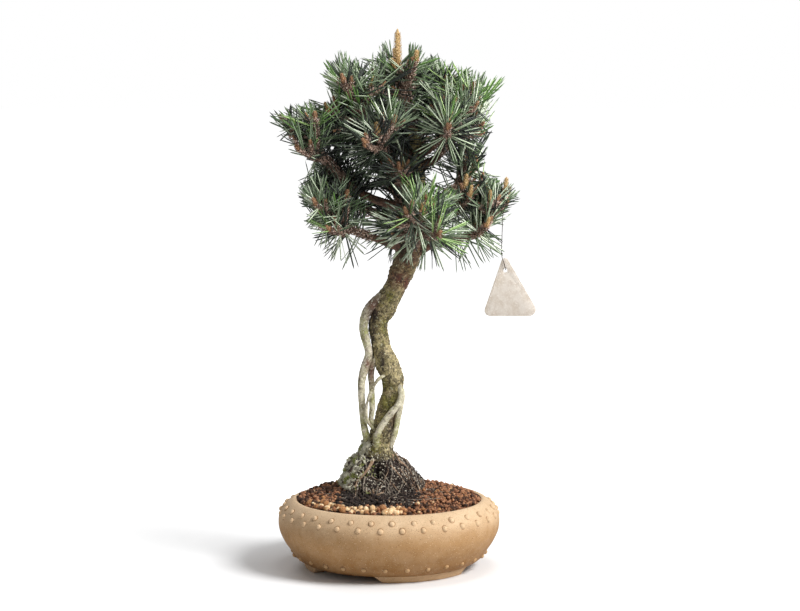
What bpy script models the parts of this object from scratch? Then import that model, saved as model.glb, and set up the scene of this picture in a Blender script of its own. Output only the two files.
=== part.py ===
"""A Japanese black pine bonsai with exposed roots, in a round drum pot with nail heads.

Blender 4.5 script: run it with `blender --background --python part.py`, or from the text editor.
It models every sub-part as its own named object. All sizes in the tables below are millimetres
about the pot's axis, with the table top at z = 0, the viewer at -Y and +X to the viewer's right.
`add_object` turns them into metres.

The crown is grown by one rule: a mass of foliage has one main shoot, side shoots leave it by a
seeded golden-angle rule, and toothed needle blades leave every shoot by the same rule. A blade
that would touch another part is shortened or skipped.
"""
import math
import random
from dataclasses import dataclass

import bmesh
import bpy
import numpy as np
from mathutils import Vector, noise

MM = 0.001
POT_AXIS_X = -0.0125
CLEAR = 0.3
GUARD_GROWTH = 0.42
GOLDEN_ANGLE = math.radians(137.508)
UP = Vector((0.0, 0.0, 1.0))

POT_SEGMENTS = 32
POT_UNDERSIDE_Z = 6.5
POT_UNDERSIDE_R = 86.0
POT_OUTSIDE = (
    (91.0, 9.3), (96.0, 14.0), (99.7, 20.0), (103.7, 25.8), (106.7, 31.5), (109.2, 37.5), (110.3, 45.0),
    (109.7, 52.5), (107.5, 57.5), (103.8, 62.0), (99.0, 66.0), (95.5, 68.0), (92.8, 68.2),
)
POT_INSIDE = (
    (91.6, 65.5), (97.6, 55.0), (100.6, 45.0), (99.6, 37.0), (95.0, 26.0), (88.0, 18.0), (78.0, 14.5),
)
NAIL_RADIUS = 2.75
NAIL_STATIONS = ((-1.6, 1.1), (1.9, 0.62))
NAIL_SIDES = 4
# The rings of nail heads: height, number, and the turn of one nail from the front in degrees.
NAIL_ROWS = ((61.7, 32, 2.0), (55.5, 32, -4.2), (14.8, 29, -1.8))

FOOT_CENTRES = {"pot_foot_right": 27.0, "pot_foot_left": -93.0, "pot_foot_back": 147.0}
FOOT_HALF_BOTTOM = 31.0
FOOT_HALF_TOP = 37.0
FOOT_OUTER_R = 84.0
FOOT_DEPTH = 12.0
FOOT_STEPS = 9

SOIL_SEGMENTS = 20
SOIL_CROWN_R = 54.0
SOIL_CROWN_Z = 76.0
SOIL_SHOULDER_R = 74.0
SOIL_SHOULDER_Z = 71.5
SOIL_EDGE_Z = 64.8
SOIL_GAP = 0.5

MOUND_TOP_Z = 108.0
MOUND_SEGMENTS = 20
MOUND_TOP_CENTRE = (-11.0, 0.0)
MOUND_FOOT_CENTRE = (-10.5, -4.0)
MOUND_PROFILE = ((43.5, 0.0), (42.5, 0.16), (38.5, 0.40), (33.0, 0.66), (28.0, 0.86), (23.0, 1.0))

TRUNK_SIDES = 10
TRUNK_STEP = 9.0
TRUNK_RELIEF = 0.12
TRUNK = (
    (-10.0, 0.0, 108.3, 20.0), (-10.0, 0.0, 116.0, 16.0), (-8.0, 0.0, 128.0, 13.0), (-5.0, 0.0, 142.0, 11.0),
    (-1.0, 0.0, 157.0, 10.0), (3.0, -1.0, 172.0, 10.0), (4.2, -2.0, 187.0, 11.0), (-0.6, -2.0, 200.0, 11.6),
    (-6.2, -1.0, 214.0, 10.0), (-9.8, 0.5, 229.0, 9.2), (-9.4, 1.0, 246.0, 9.8), (-2.8, 2.0, 262.0, 11.4),
    (7.4, 1.0, 282.0, 10.9), (14.6, 0.5, 299.0, 12.0), (20.0, 1.0, 315.0, 11.6), (24.0, 4.0, 336.0, 9.0),
    (29.0, 9.0, 368.0, 7.4), (28.0, 8.0, 397.0, 6.4), (26.5, 5.0, 418.0, 5.6), (24.0, 2.0, 436.0, 4.9),
)

ROOT_SIDES = 6
ROOT_STEP = 9.0
ROOTS = {
    "root_left_outer": (
        (-7.0, -1.0, 271.0, 4.6), (-20.0, -4.5, 258.0, 4.8), (-25.2, -5.0, 242.0, 4.4), (-22.8, -5.0, 227.0, 4.2),
        (-20.0, -6.0, 213.0, 4.0), (-24.2, -7.0, 199.0, 4.1), (-27.2, -8.0, 184.0, 3.6), (-26.8, -8.0, 167.0, 3.4),
        (-25.6, -6.5, 148.0, 3.4), (-22.4, -4.5, 130.0, 3.8), (-17.0, -3.0, 116.0, 4.0),
    ),
    "root_left_inner": (
        (-8.0, -2.0, 216.0, 3.0), (-14.5, -4.6, 206.5, 3.1), (-17.5, -4.2, 194.0, 3.1),
        (-17.0, -4.0, 178.0, 3.0), (-16.6, -4.0, 160.0, 2.9), (-17.4, -4.0, 146.0, 2.8), (-10.0, -2.0, 132.0, 2.8),
    ),
    "root_arching": (
        (0.0, -6.0, 193.0, 1.7), (-8.0, -14.0, 191.0, 1.7), (-14.0, -14.0, 184.0, 1.6), (-20.0, -14.0, 171.0, 1.6),
        (-22.5, -12.5, 158.0, 1.6), (-20.5, -11.0, 146.0, 1.7), (-10.0, -6.0, 133.0, 1.7),
    ),
    "root_front": (
        (5.0, -4.0, 188.0, 3.2), (12.5, -10.5, 176.0, 3.2), (10.0, -13.5, 166.0, 3.1), (3.5, -15.5, 157.5, 3.1),
        (-3.0, -16.0, 149.0, 3.1), (-9.0, -16.0, 140.0, 3.2), (-12.5, -15.5, 129.0, 3.2), (-11.0, -8.0, 117.0, 3.2),
    ),
    "root_right": (
        (7.0, 0.0, 181.0, 3.0), (12.8, -1.5, 172.0, 3.0), (12.0, -3.0, 163.0, 3.0), (9.6, -4.0, 152.0, 3.0),
        (7.6, -5.0, 141.0, 3.0), (5.0, -6.0, 131.0, 3.0), (0.0, -4.0, 119.0, 3.0),
    ),
}

BOUGH_SIDES = 5
BOUGH_STEP = 11.0
BOUGH_SWELL = 1.45
BOUGH_BEND = 0.35
MAIN_SIDES = 5
SIDE_SIDES = 4
SHOOT_STEP = 22.0
BUD_UPTURN = 0.045
CANDLE_FROM = 16.0
CANDLE = (5, ((-0.12, 0.75), (0.1, 1.15), (0.75, 0.9), (1.0, 0.25)))
BUD = (4, ((-0.2, 0.75), (0.4, 1.2), (1.0, 0.25)))
SPRAYS_MAIN = 7
SPRAYS_SIDE = 3
TEETH = 4
SIDE_FROM = 0.30
SIDE_TO = 0.82
SIDE_UPTURN = 0.34
SIDE_TURNS = (0.0, 0.5, -0.5, 1.0, -1.0, 1.6, -1.6, 2.3)
SIDE_WIDTH = 0.72
SIDE_LEAST_R = 1.5
TIP_REACH = 16.0
SHOOT_GAP = 2.5
BARE_MAIN = 0.24
BARE_SIDE = 0.22
LEAN_BASE = 78.0
LEAN_TIP = 12.0
TOOTH_SPREAD = math.radians(19.0)
VALLEY_REACH = 0.5
NECK_REACH = 0.13
NECK_WIDTH = 1.5
NECK_RIDGE = 1.4
BLADE_GAP = 0.6
BLADE_R = 0.5
TWIG_GAP = 0.0
LENGTH_TRIES = (1.0, 0.84, 0.68)
TIP_TRIES = (1.0, 0.9, 0.8, 0.7, 0.6)
LIMB_OWNER = -1
TRUNK_ROOM = 1.1

# The crown's left and right limits, as (height, left, right), seen from the front by a viewer
# at VIEWER, and the gaps through which the sky shows, as (x, height, half width, half height).
VIEWER = (11.0, -2200.0, 480.0)
CROWN_ROWS = (
    (290, -40, 76), (306, -66, 117), (328, -76, 112), (342, -84, 113), (352, -80, 121), (362, -90, 129),
    (377, -90, 130), (385, -87, 118), (392, -76, 92), (405, -82, 97), (415, -97, 95), (425, -110, 97),
    (432, -104, 106), (440, -116, 105), (448, -124, 99), (456, -117, 101), (460, -96, 101), (466, -58, 101),
    (479, -64, 117), (487, -68, 112), (503, -63, 59), (511, -54, 38), (518, -44, 32), (524, -3, 21),
)
CROWN_DEPTH = 106.0
SKY_GAPS = ((67.0, 389.0, 25.0, 8.0), (2.0, 367.5, 13.0, 7.5))


@dataclass(frozen=True)
class Mass:
    """One mass of foliage: its main shoot's three places, and the rule's numbers for its side shoots."""

    name: str
    bough_z: float
    foot: tuple
    knee: tuple
    tip: tuple
    side: int
    spread: float
    reach: float
    roll: float
    bud: float
    seed: int
    needle: float = 42.0
    foot_radius: float = 3.4
    tip_radius: float = 2.3


MASSES = (
    Mass("foliage_leader", 0.0, (24, 2, 436.3), (17, -4, 463), (9, -8, 494), 4, 46, 40, 15, 39, 1, 40, 4.8, 3.2),
    Mass("foliage_upper_left", 404.0, (-4, -2, 423), (-24, -8, 447), (-38, -15, 476), 4, 42, 38, 180, 14, 2, 44),
    Mass("foliage_far_left", 352.0, (-42, -6, 384), (-66, -14, 411), (-91, -20, 438), 3, 40, 38, 180, 9, 3, 44),
    Mass("foliage_left_low", 318.0, (-16, -6, 329), (-44, -14, 340), (-65, -22, 364), 4, 48, 38, 180, 14, 4),
    Mass("foliage_front_low", 314.0, (27, -22, 324), (31, -45, 338), (33, -62, 356), 4, 50, 30, 70, 12, 5),
    Mass("foliage_centre_low", 366.0, (21, -9, 371), (15, -15, 381), (13, -17, 392), 2, 52, 26, 80, 17, 6, 38),
    Mass("foliage_right_low", 310.0, (48, -2, 323), (88, -7, 334), (114, -10, 370), 4, 48, 34, 150, 19, 7),
    Mass("foliage_right_mid", 334.0, (52, -3, 342), (66, -2, 354), (75, -2, 375), 2, 50, 30, 60, 17, 8, 36),
    Mass("foliage_upper_right", 412.0, (46, -14, 421), (56, -25, 429), (60, -33, 441), 3, 54, 34, 10, 13, 9),
    Mass("foliage_right_side", 400.0, (50, 4, 410), (70, -4, 434), (87, -12, 457), 3, 44, 34, 150, 11, 10, 46),
    Mass("foliage_centre", 392.0, (6, -12, 402), (-4, -24, 415), (-10, -35, 430), 3, 52, 30, 30, 14, 11),
    Mass("foliage_right_back", 425.0, (36, 16, 437), (44, 25, 453), (50, 28, 473), 2, 46, 34, 300, 12, 12, 44),
    Mass("foliage_left_back", 398.0, (-10, 27, 408), (-34, 34, 423), (-52, 36, 446), 3, 46, 34, 20, 13, 13),
    Mass("foliage_back_low", 330.0, (20, 28, 338), (14, 48, 346), (8, 62, 358), 3, 50, 32, 200, 12, 14),
    Mass("foliage_back_right", 358.0, (54, 26, 368), (70, 40, 378), (84, 48, 394), 2, 48, 34, 15, 14, 15),
    Mass("foliage_back_mid", 384.0, (22, 34, 398), (16, 50, 412), (10, 60, 432), 3, 48, 32, 65, 13, 16),
    Mass("foliage_back_left", 338.0, (-14, 22, 350), (-38, 36, 360), (-58, 44, 378), 3, 48, 34, 50, 12, 17),
)

TAG_HOLE = (114.6, -12.0, 296.8)
TAG_THICK = 1.0
TAG_KEEP_OUT = 16.0
TAG_HOLE_R = 1.9
TAG_HOLE_SIDES = 12
TAG_HOLE_CUT = 4.0
TAG_APEX = (113.3, 314.0)
TAG_CORNERS = ((92.0, 251.8), (149.5, 251.8))
TAG_CORNER_R = (3.6, 5.5, 6.5)
TAG_CORNER_STEPS = 4
THREAD_R = 0.45
THREAD_STEP = 7.0
THREAD_SIDES = 6
THREAD = (
    (111.6, -14.0, 350.0), (111.1, -14.0, 330.0), (110.8, -13.6, 313.0), (113.2, -13.8, 304.0),
    (114.6, -13.4, 299.0), (114.7, -12.0, 297.4),
)

COLOURS = {
    "stoneware": ((0.55, 0.42, 0.27), 0.82),
    "soil": ((0.16, 0.09, 0.05), 0.95),
    "root_fibre": ((0.07, 0.06, 0.05), 0.95),
    "bark": ((0.27, 0.22, 0.15), 0.9),
    "root_bark": ((0.42, 0.38, 0.26), 0.85),
    "needles": ((0.06, 0.12, 0.05), 0.5),
    "card": ((0.80, 0.79, 0.72), 0.6),
    "thread": ((0.02, 0.02, 0.02), 0.7),
}


def clear_scene():
    """Remove every object that the file holds."""
    for obj in list(bpy.data.objects):
        bpy.data.objects.remove(obj, do_unlink=True)


def make_materials():
    """Return one Principled material for each entry of COLOURS."""
    materials = {}
    for name, (colour, roughness) in COLOURS.items():
        material = bpy.data.materials.new(name)
        material.use_nodes = True
        shader = material.node_tree.nodes["Principled BSDF"]
        shader.inputs["Base Color"].default_value = (*colour, 1.0)
        shader.inputs["Roughness"].default_value = roughness
        shader.inputs["Metallic"].default_value = 0.0
        material.diffuse_color = (*colour, 1.0)
        materials[name] = material
    return materials


def add_object(name, bm, material, parent):
    """Turn a bmesh in millimetres into a named object in metres that hangs on the parent empty."""
    bmesh.ops.recalc_face_normals(bm, faces=bm.faces[:])
    bmesh.ops.scale(bm, vec=(MM, MM, MM), verts=bm.verts[:])
    mesh = bpy.data.meshes.new(name)
    bm.to_mesh(mesh)
    bm.free()
    obj = bpy.data.objects.new(name, mesh)
    bpy.context.scene.collection.objects.link(obj)
    obj.parent = parent
    if material is not None:
        mesh.materials.append(material)
    return obj


def shade(obj, angle=40.0):
    """Shade an object smooth, with the edges sharper than the angle kept sharp."""
    obj.data.shade_smooth()
    obj.data.set_sharp_from_angle(angle=math.radians(angle))


def smooth_rows(rows, step):
    """Return rows read from a Catmull-Rom curve through the given rows, about one step apart."""
    table = np.array(rows, dtype=float)
    padded = np.vstack([2.0 * table[0] - table[1], table, 2.0 * table[-1] - table[-2]])
    out = [table[0]]
    for i in range(1, len(table)):
        a, b, c, d = padded[i - 1:i + 3]
        count = max(1, round(float(np.linalg.norm(c[:3] - b[:3])) / step))
        for k in range(1, count + 1):
            t = k / count
            out.append(0.5 * (2 * b + (c - a) * t + (2 * a - 5 * b + 4 * c - d) * t * t
                              + (3 * b - a - 3 * c + d) * t ** 3))
    return out


def path_frames(points, first=None, last=None):
    """Return one (tangent, normal, binormal) for each point; first and last set the end tangents."""
    tangents = [(points[min(i + 1, len(points) - 1)] - points[max(i - 1, 0)]).normalized()
                for i in range(len(points))]
    tangents[0] = first or tangents[0]
    tangents[-1] = last or tangents[-1]
    frames = []
    normal = None
    for tangent in tangents:
        if normal is None:
            normal = tangent.orthogonal()
        normal = (normal - tangent * normal.dot(tangent)).normalized()
        frames.append((tangent, normal, tangent.cross(normal)))
    return frames


def add_tube(bm, points, radii, sides, relief=0.0, first=None, last=None):
    """Add a closed tube along the points; relief swells and pinches its section a little."""
    rings = []
    for point, radius, (_, normal, binormal) in zip(points, radii, path_frames(points, first, last)):
        ring = []
        for k in range(sides):
            angle = 2.0 * math.pi * k / sides
            spoke = normal * math.cos(angle) + binormal * math.sin(angle)
            swell = 1.0 + relief * noise.noise((point + spoke * radius) * 0.06)
            ring.append(bm.verts.new(point + spoke * radius * swell))
        rings.append(ring)
    for low, high in zip(rings, rings[1:]):
        for k in range(sides):
            bm.faces.new((low[k], low[(k + 1) % sides], high[(k + 1) % sides], high[k]))
    bm.faces.new(list(reversed(rings[0])))
    bm.faces.new(rings[-1])


def add_lathe(bm, profile, segments, centre=(0.0, 0.0)):
    """Add the closed body that a profile from axis to axis makes when it is turned."""
    rings = []
    for radius, height in profile:
        if radius == 0.0:
            rings.append([bm.verts.new((centre[0], centre[1], height))])
            continue
        rings.append([bm.verts.new((centre[0] + radius * math.cos(2.0 * math.pi * k / segments),
                                    centre[1] + radius * math.sin(2.0 * math.pi * k / segments), height))
                      for k in range(segments)])
    for low, high in zip(rings, rings[1:]):
        for k in range(segments):
            n = (k + 1) % segments
            corners = [low[k % len(low)], low[n % len(low)], high[n % len(high)], high[k % len(high)]]
            bm.faces.new(list(dict.fromkeys(corners)))


def fuse(obj, pieces):
    """Join the pieces to the object by one Boolean union on a collection, then remove them."""
    operands = bpy.data.collections.new(obj.name + "_pieces")
    bpy.context.scene.collection.children.link(operands)
    for piece in pieces:
        bpy.context.scene.collection.objects.unlink(piece)
        operands.objects.link(piece)
    union = obj.modifiers.new("fuse", "BOOLEAN")
    union.operation = "UNION"
    union.operand_type = "COLLECTION"
    union.collection = operands
    union.solver = "EXACT"
    bpy.context.view_layer.update()
    evaluated = obj.evaluated_get(bpy.context.evaluated_depsgraph_get())
    mesh = bpy.data.meshes.new_from_object(evaluated)
    obj.modifiers.clear()
    obj.data = mesh
    for piece in pieces:
        bpy.data.objects.remove(piece, do_unlink=True)
    bpy.data.collections.remove(operands)
    keep_main_body(mesh)


def keep_main_body(mesh):
    """Drop loose scraps and the shells of sealed hollows, so that one body is left."""
    bm = bmesh.new()
    bm.from_mesh(mesh)
    todo = set(bm.verts)
    bodies = []
    while todo:
        seed = todo.pop()
        body = {seed}
        front = [seed]
        while front:
            for edge in front.pop().link_edges:
                for vert in edge.verts:
                    if vert in todo:
                        todo.remove(vert)
                        body.add(vert)
                        front.append(vert)
        bodies.append(body)
    bodies.sort(key=len)
    for body in bodies[:-1]:
        bmesh.ops.delete(bm, geom=list(body), context="VERTS")
    bm.to_mesh(mesh)
    bm.free()


def carve(obj, guard):
    """Cut the guard's shape away from the object."""
    cut = obj.modifiers.new("clear_of_" + guard.name, "BOOLEAN")
    cut.operation = "DIFFERENCE"
    cut.object = guard
    cut.solver = "EXACT"


def hide_guard(guard):
    """Mark an object as a cutter, which the build leaves out."""
    guard.hide_render = True
    guard.display_type = "WIRE"


class Clearance:
    """The round-ended segments that stand for every limb and blade, and who owns them."""

    def __init__(self):
        self.starts = np.zeros((0, 3))
        self.ends = np.zeros((0, 3))
        self.radii = np.zeros(0)
        self.owners = np.zeros(0, dtype=int)
        self.twigs = np.zeros(0, dtype=int)

    def add(self, owner, segments, twig=0):
        """Keep the (start, end, radius) segments of an owner, and of one of its twigs."""
        self.starts = np.vstack([self.starts, [tuple(s[0]) for s in segments]])
        self.ends = np.vstack([self.ends, [tuple(s[1]) for s in segments]])
        self.radii = np.append(self.radii, [s[2] for s in segments])
        self.owners = np.append(self.owners, [owner] * len(segments))
        self.twigs = np.append(self.twigs, [twig] * len(segments))

    def is_clear(self, owner, segments, gap):
        """Tell whether the segments keep the gap to everything that the owner doesn't own."""
        return self.keeps_gap(self.owners != owner, segments, gap)

    def is_free(self, owner, twig, segments, gap):
        """Tell whether the segments keep the gap to the owner's own other twigs and their blades."""
        return self.keeps_gap((self.owners == owner) & (self.twigs != twig), segments, gap)

    def keeps_gap(self, others, segments, gap):
        """Tell whether the segments keep the gap to the chosen ones."""
        starts = self.starts[others]
        ends = self.ends[others]
        radii = self.radii[others]
        for start, end, radius in segments:
            distance = segment_distances(np.array(start), np.array(end), starts, ends)
            if np.any(distance < radii + radius + gap):
                return False
        return True


def segment_distances(start, end, starts, ends):
    """Return the distance from one segment to each of many segments."""
    along = end - start
    others = ends - starts
    offset = start - starts
    a = float(along @ along) + 1e-9
    e = np.einsum("ij,ij->i", others, others) + 1e-9
    f = np.einsum("ij,ij->i", others, offset)
    c = offset @ along
    b = others @ along
    slack = a * e - b * b
    s = np.where(slack > 1e-6, np.clip((b * f - c * e) / np.maximum(slack, 1e-6), 0.0, 1.0), 0.0)
    t = np.clip((b * s + f) / e, 0.0, 1.0)
    s = np.clip((b * t - c) / a, 0.0, 1.0)
    gap = (start + s[:, None] * along) - (starts + t[:, None] * others)
    return np.linalg.norm(gap, axis=1)


@dataclass
class Shoot:
    """One twig of a mass: its points, its radii, and where along it the needles begin."""

    points: list
    radii: list
    bare: float
    bud: float
    needle: float
    phase: float
    sprays: int


def point_on(points, fraction):
    """Return the place and the direction at a fraction of a path's length."""
    lengths = [(b - a).length for a, b in zip(points, points[1:])]
    left = fraction * sum(lengths)
    for a, b, length in zip(points, points[1:], lengths):
        if left <= length or b is points[-1]:
            return a.lerp(b, min(1.0, left / length)), (b - a).normalized()
        left -= length
    return points[-1], (points[-1] - points[-2]).normalized()


def foot_direction(mass):
    """Return the direction in which a mass's main shoot leaves its foot."""
    return (Vector(mass.knee) - Vector(mass.foot)).normalized()


def main_shoot(mass):
    """Return the mass's main shoot, from its foot past its knee to its tip."""
    rows = smooth_rows((mass.foot, mass.knee, mass.tip), SHOOT_STEP)
    points = [Vector(row) for row in rows]
    radii = [mass.foot_radius + (mass.tip_radius - mass.foot_radius) * i / (len(points) - 1)
             for i in range(len(points))]
    return Shoot(points, radii, BARE_MAIN, mass.bud, mass.needle, 0.0, SPRAYS_MAIN)


def side_shoot(mass, main, index, rng, turn):
    """Return the side shoot of this index: it leaves the main shoot by the golden-angle rule."""
    fraction = SIDE_FROM + (SIDE_TO - SIDE_FROM) * (index + 0.5) / mass.side
    base, along = point_on(main.points, fraction)
    side = along.cross(UP).normalized()
    rise = side.cross(along)
    roll = math.radians(mass.roll) + index * GOLDEN_ANGLE + turn
    spread = math.radians(mass.spread)
    out = along * math.cos(spread) + (rise * math.cos(roll) + side * math.sin(roll)) * math.sin(spread)
    length = mass.reach * (1.12 - 0.35 * fraction) * rng.uniform(0.88, 1.12)
    middle = base + out * length * 0.5
    tip = middle + (out + UP * SIDE_UPTURN).normalized() * length * 0.5
    radius = SIDE_WIDTH * (mass.foot_radius + (mass.tip_radius - mass.foot_radius) * fraction)
    radii = [radius, radius * 0.95, max(SIDE_LEAST_R, radius * 0.82)]
    bud = mass.bud * rng.uniform(0.55, 0.85) if mass.bud < 20 else rng.uniform(8.0, 12.0)
    needle = mass.needle * rng.uniform(0.92, 1.0)
    return Shoot([base, middle, tip], radii, BARE_SIDE, bud, needle, roll, SPRAYS_SIDE)


def bud_direction(shoot):
    """Return the direction of a shoot's bud, which turns upright, the more so the longer it is."""
    along = (shoot.points[-1] - shoot.points[-2]).normalized()
    return along.lerp(UP, min(0.95, shoot.bud * BUD_UPTURN)).normalized()


def shoot_segments(shoot):
    """Return the segments that stand for a shoot and its bud."""
    segments = [(a, b, r) for a, b, r in zip(shoot.points, shoot.points[1:], shoot.radii)]
    tip = shoot.points[-1]
    segments.append((tip, tip + bud_direction(shoot) * shoot.bud, shoot.radii[-1] * 1.25))
    return segments


def grow_shoots(masses, clearance):
    """Return each mass's shoots; a side shoot that would touch another part turns, or is skipped."""
    grown = {mass.name: [main_shoot(mass)] for mass in masses}
    for owner, mass in enumerate(masses):
        clearance.add(owner, shoot_segments(grown[mass.name][0]), twig=0)
    for owner, mass in enumerate(masses):
        rng = random.Random(mass.seed)
        for index in range(mass.side):
            state = rng.getstate()
            for turn in SIDE_TURNS:
                rng.setstate(state)
                shoot = side_shoot(mass, grown[mass.name][0], index, rng, turn)
                segments = shoot_segments(shoot)
                reach = shoot.points[-1] + (shoot.points[-1] - shoot.points[-2]).normalized() * TIP_REACH
                if in_crown(reach) and clearance.is_clear(owner, segments, SHOOT_GAP):
                    clearance.add(owner, segments, twig=len(grown[mass.name]))
                    grown[mass.name].append(shoot)
                    break
    return grown


def as_seen(point):
    """Return the x and height at which the viewer sees a point against the trunk's plane."""
    scale = VIEWER[1] / (VIEWER[1] - point.y)
    return VIEWER[0] + (point.x - VIEWER[0]) * scale, VIEWER[2] + (point.z - VIEWER[2]) * scale


def in_crown(point):
    """Tell whether a point keeps within the crown's outline and out of its gaps."""
    x, z = as_seen(point)
    if abs(point.y) > CROWN_DEPTH or not CROWN_ROWS[0][0] <= z <= CROWN_ROWS[-1][0]:
        return False
    for gap_x, gap_z, half_width, half_height in SKY_GAPS:
        if ((x - gap_x) / half_width) ** 2 + ((z - gap_z) / half_height) ** 2 < 1.0:
            return False
    for (z0, left0, right0), (z1, left1, right1) in zip(CROWN_ROWS, CROWN_ROWS[1:]):
        if z0 <= z <= z1:
            share = (z - z0) / (z1 - z0)
            return left0 + (left1 - left0) * share <= x <= right0 + (right1 - right0) * share
    return False


def tooth_tip(start, heading, length, lift):
    """Return a tooth's tip, drawn back until it is within the crown."""
    for share in TIP_TRIES:
        tip = start + heading * length * share + lift
        if all(in_crown(start.lerp(tip, along)) for along in (1.0, 0.75, 0.5)):
            return tip
    return start + heading * length * (VALLEY_REACH + 0.05)


def spray_points(shoot, index, rng, scale):
    """Return the corners of one toothed blade: its root on the shoot, its teeth and its valleys."""
    rank = (index + 0.5) / shoot.sprays
    root, along = point_on(shoot.points, shoot.bare + (1.0 - shoot.bare) * rank)
    lean = math.radians(LEAN_BASE + (LEAN_TIP - LEAN_BASE) * rank ** 1.2 + rng.uniform(-7.0, 7.0))
    turn = shoot.phase + index * GOLDEN_ANGLE + rng.uniform(-0.15, 0.15)
    normal = along.orthogonal()
    binormal = along.cross(normal)
    radial = normal * math.cos(turn) + binormal * math.sin(turn)
    forward = along * math.cos(lean) + radial * math.sin(lean)
    across = along.cross(radial)
    twist = rng.uniform(-0.25, 0.25)
    across = (across * math.cos(twist) + forward.cross(across) * math.sin(twist)).normalized()
    ridge = across.cross(forward).normalized()
    length = shoot.needle * scale * rng.uniform(0.93, 1.0)
    start = root - forward * shoot.radii[-1] * 0.5
    neck = start + forward * length * NECK_REACH
    half = across * NECK_WIDTH / 2
    corners = [neck + half]
    for k in range(2 * TEETH - 1):
        angle = TOOTH_SPREAD * (1.0 - k / (TEETH - 1))
        heading = forward * math.cos(angle) + across * math.sin(angle)
        if k % 2:
            corners.append(start + heading * length * VALLEY_REACH)
        else:
            tooth_length = length * rng.uniform(0.92, 1.0)
            corners.append(tooth_tip(start, heading, tooth_length, ridge * rng.uniform(0.0, 3.0)))
    corners.append(neck - half)
    return corners, neck + ridge * NECK_RIDGE, (start + half, start - half, start + ridge * NECK_RIDGE)


def spray_segments(corners):
    """Return the segments that stand for a blade, from its root to each tooth and valley."""
    start = (corners[0] + corners[-1]) / 2
    return [(start, corner, BLADE_R) for corner in corners[1:-1]]


def add_blade(bm, corners, ridge, root):
    """Add one closed toothed blade: a three-sided neck, a ridged upper side and a flat under side."""
    chain = [bm.verts.new(corner) for corner in corners]
    top = bm.verts.new(ridge)
    root_right, root_left, root_top = [bm.verts.new(corner) for corner in root]
    bm.faces.new((root_right, root_top, root_left))
    bm.faces.new((root_right, chain[0], top, root_top))
    bm.faces.new((root_top, top, chain[-1], root_left))
    bm.faces.new((root_left, chain[-1], chain[0], root_right))
    for a, b in zip(chain, chain[1:]):
        bm.faces.new((a, b, top))
    for k in range(1, len(chain), 2):
        bm.faces.new((chain[k - 1], chain[k + 1], chain[k]))
    valleys = chain[0::2]
    for a, b in zip(valleys[1:], valleys[2:]):
        bm.faces.new((valleys[0], b, a))


def grow_sprays(masses, grown, clearance):
    """Return each mass's blades; one that would touch another part is shortened or skipped."""
    blades = {mass.name: [] for mass in masses}
    generators = {mass.name: random.Random(1000 + mass.seed) for mass in masses}
    for index in reversed(range(max(SPRAYS_MAIN, SPRAYS_SIDE))):
        for owner, mass in enumerate(masses):
            rng = generators[mass.name]
            for twig, shoot in enumerate(grown[mass.name]):
                if index >= shoot.sprays:
                    continue
                state = rng.getstate()
                for scale in LENGTH_TRIES:
                    rng.setstate(state)
                    corners, ridge, root = spray_points(shoot, index, rng, scale)
                    segments = spray_segments(corners)
                    away = [(a.lerp(b, 0.3), b, radius) for a, b, radius in segments]
                    is_clear = clearance.is_clear(owner, segments, BLADE_GAP)
                    if is_clear and clearance.is_free(owner, twig, away, TWIG_GAP):
                        clearance.add(owner, segments, twig=twig)
                        blades[mass.name].append((corners, ridge, root))
                        break
    return blades


def add_bud(bm, shoot):
    """Add the closed spindle of a bud or candle on a shoot's tip, sunk into it."""
    tip = shoot.points[-1]
    along = bud_direction(shoot)
    radius = shoot.radii[-1]
    sides, stations = CANDLE if shoot.bud > CANDLE_FROM else BUD
    points = [tip + along * shoot.bud * station for station, _ in stations]
    add_tube(bm, points, [radius * width for _, width in stations], sides)


def build_mass(mass, shoots, blades, material, parent):
    """Fuse a mass's shoots, buds and blades into one object."""
    pieces = []
    for number, shoot in enumerate(shoots):
        bm = bmesh.new()
        if number:
            add_tube(bm, shoot.points, shoot.radii, SIDE_SIDES)
        else:
            add_tube(bm, shoot.points, shoot.radii, MAIN_SIDES, first=foot_direction(mass))
        pieces.append(add_object(mass.name if number == 0 else "twig", bm, material, parent))
        bm = bmesh.new()
        add_bud(bm, shoot)
        pieces.append(add_object("bud", bm, material, parent))
    for corners, ridge, root in blades:
        bm = bmesh.new()
        add_blade(bm, corners, ridge, root)
        pieces.append(add_object("blade", bm, material, parent))
    fuse(pieces[0], pieces[1:])
    return pieces[0]


def trunk_rows():
    """Return the trunk's smooth path and radii."""
    rows = smooth_rows(TRUNK, TRUNK_STEP)
    return [Vector(row[:3]) for row in rows], [float(row[3]) for row in rows]


def trunk_at(height):
    """Return the trunk's centre at a height."""
    points, _ = trunk_rows()
    return min(points, key=lambda point: abs(point.z - height))


def bough_rows(mass):
    """Return the path and radii of the bough that carries a mass, from inside the trunk to its foot."""
    start = trunk_at(mass.bough_z)
    foot = Vector(mass.foot)
    inward = -foot_direction(mass)
    span = (foot - start).length
    ahead = (foot - start).normalized()
    bend_near = start + ahead * span * BOUGH_BEND
    bend_far = foot + inward * span * BOUGH_BEND
    count = max(3, round(span / BOUGH_STEP))
    points = []
    for i in range(count + 1):
        t = i / count
        points.append(start * (1 - t) ** 3 + bend_near * 3 * t * (1 - t) ** 2
                      + bend_far * 3 * t * t * (1 - t) + (foot + inward * CLEAR) * t ** 3)
    root_radius = mass.foot_radius * BOUGH_SWELL
    return points, [root_radius + (mass.foot_radius - root_radius) * i / count for i in range(count + 1)]


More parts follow.
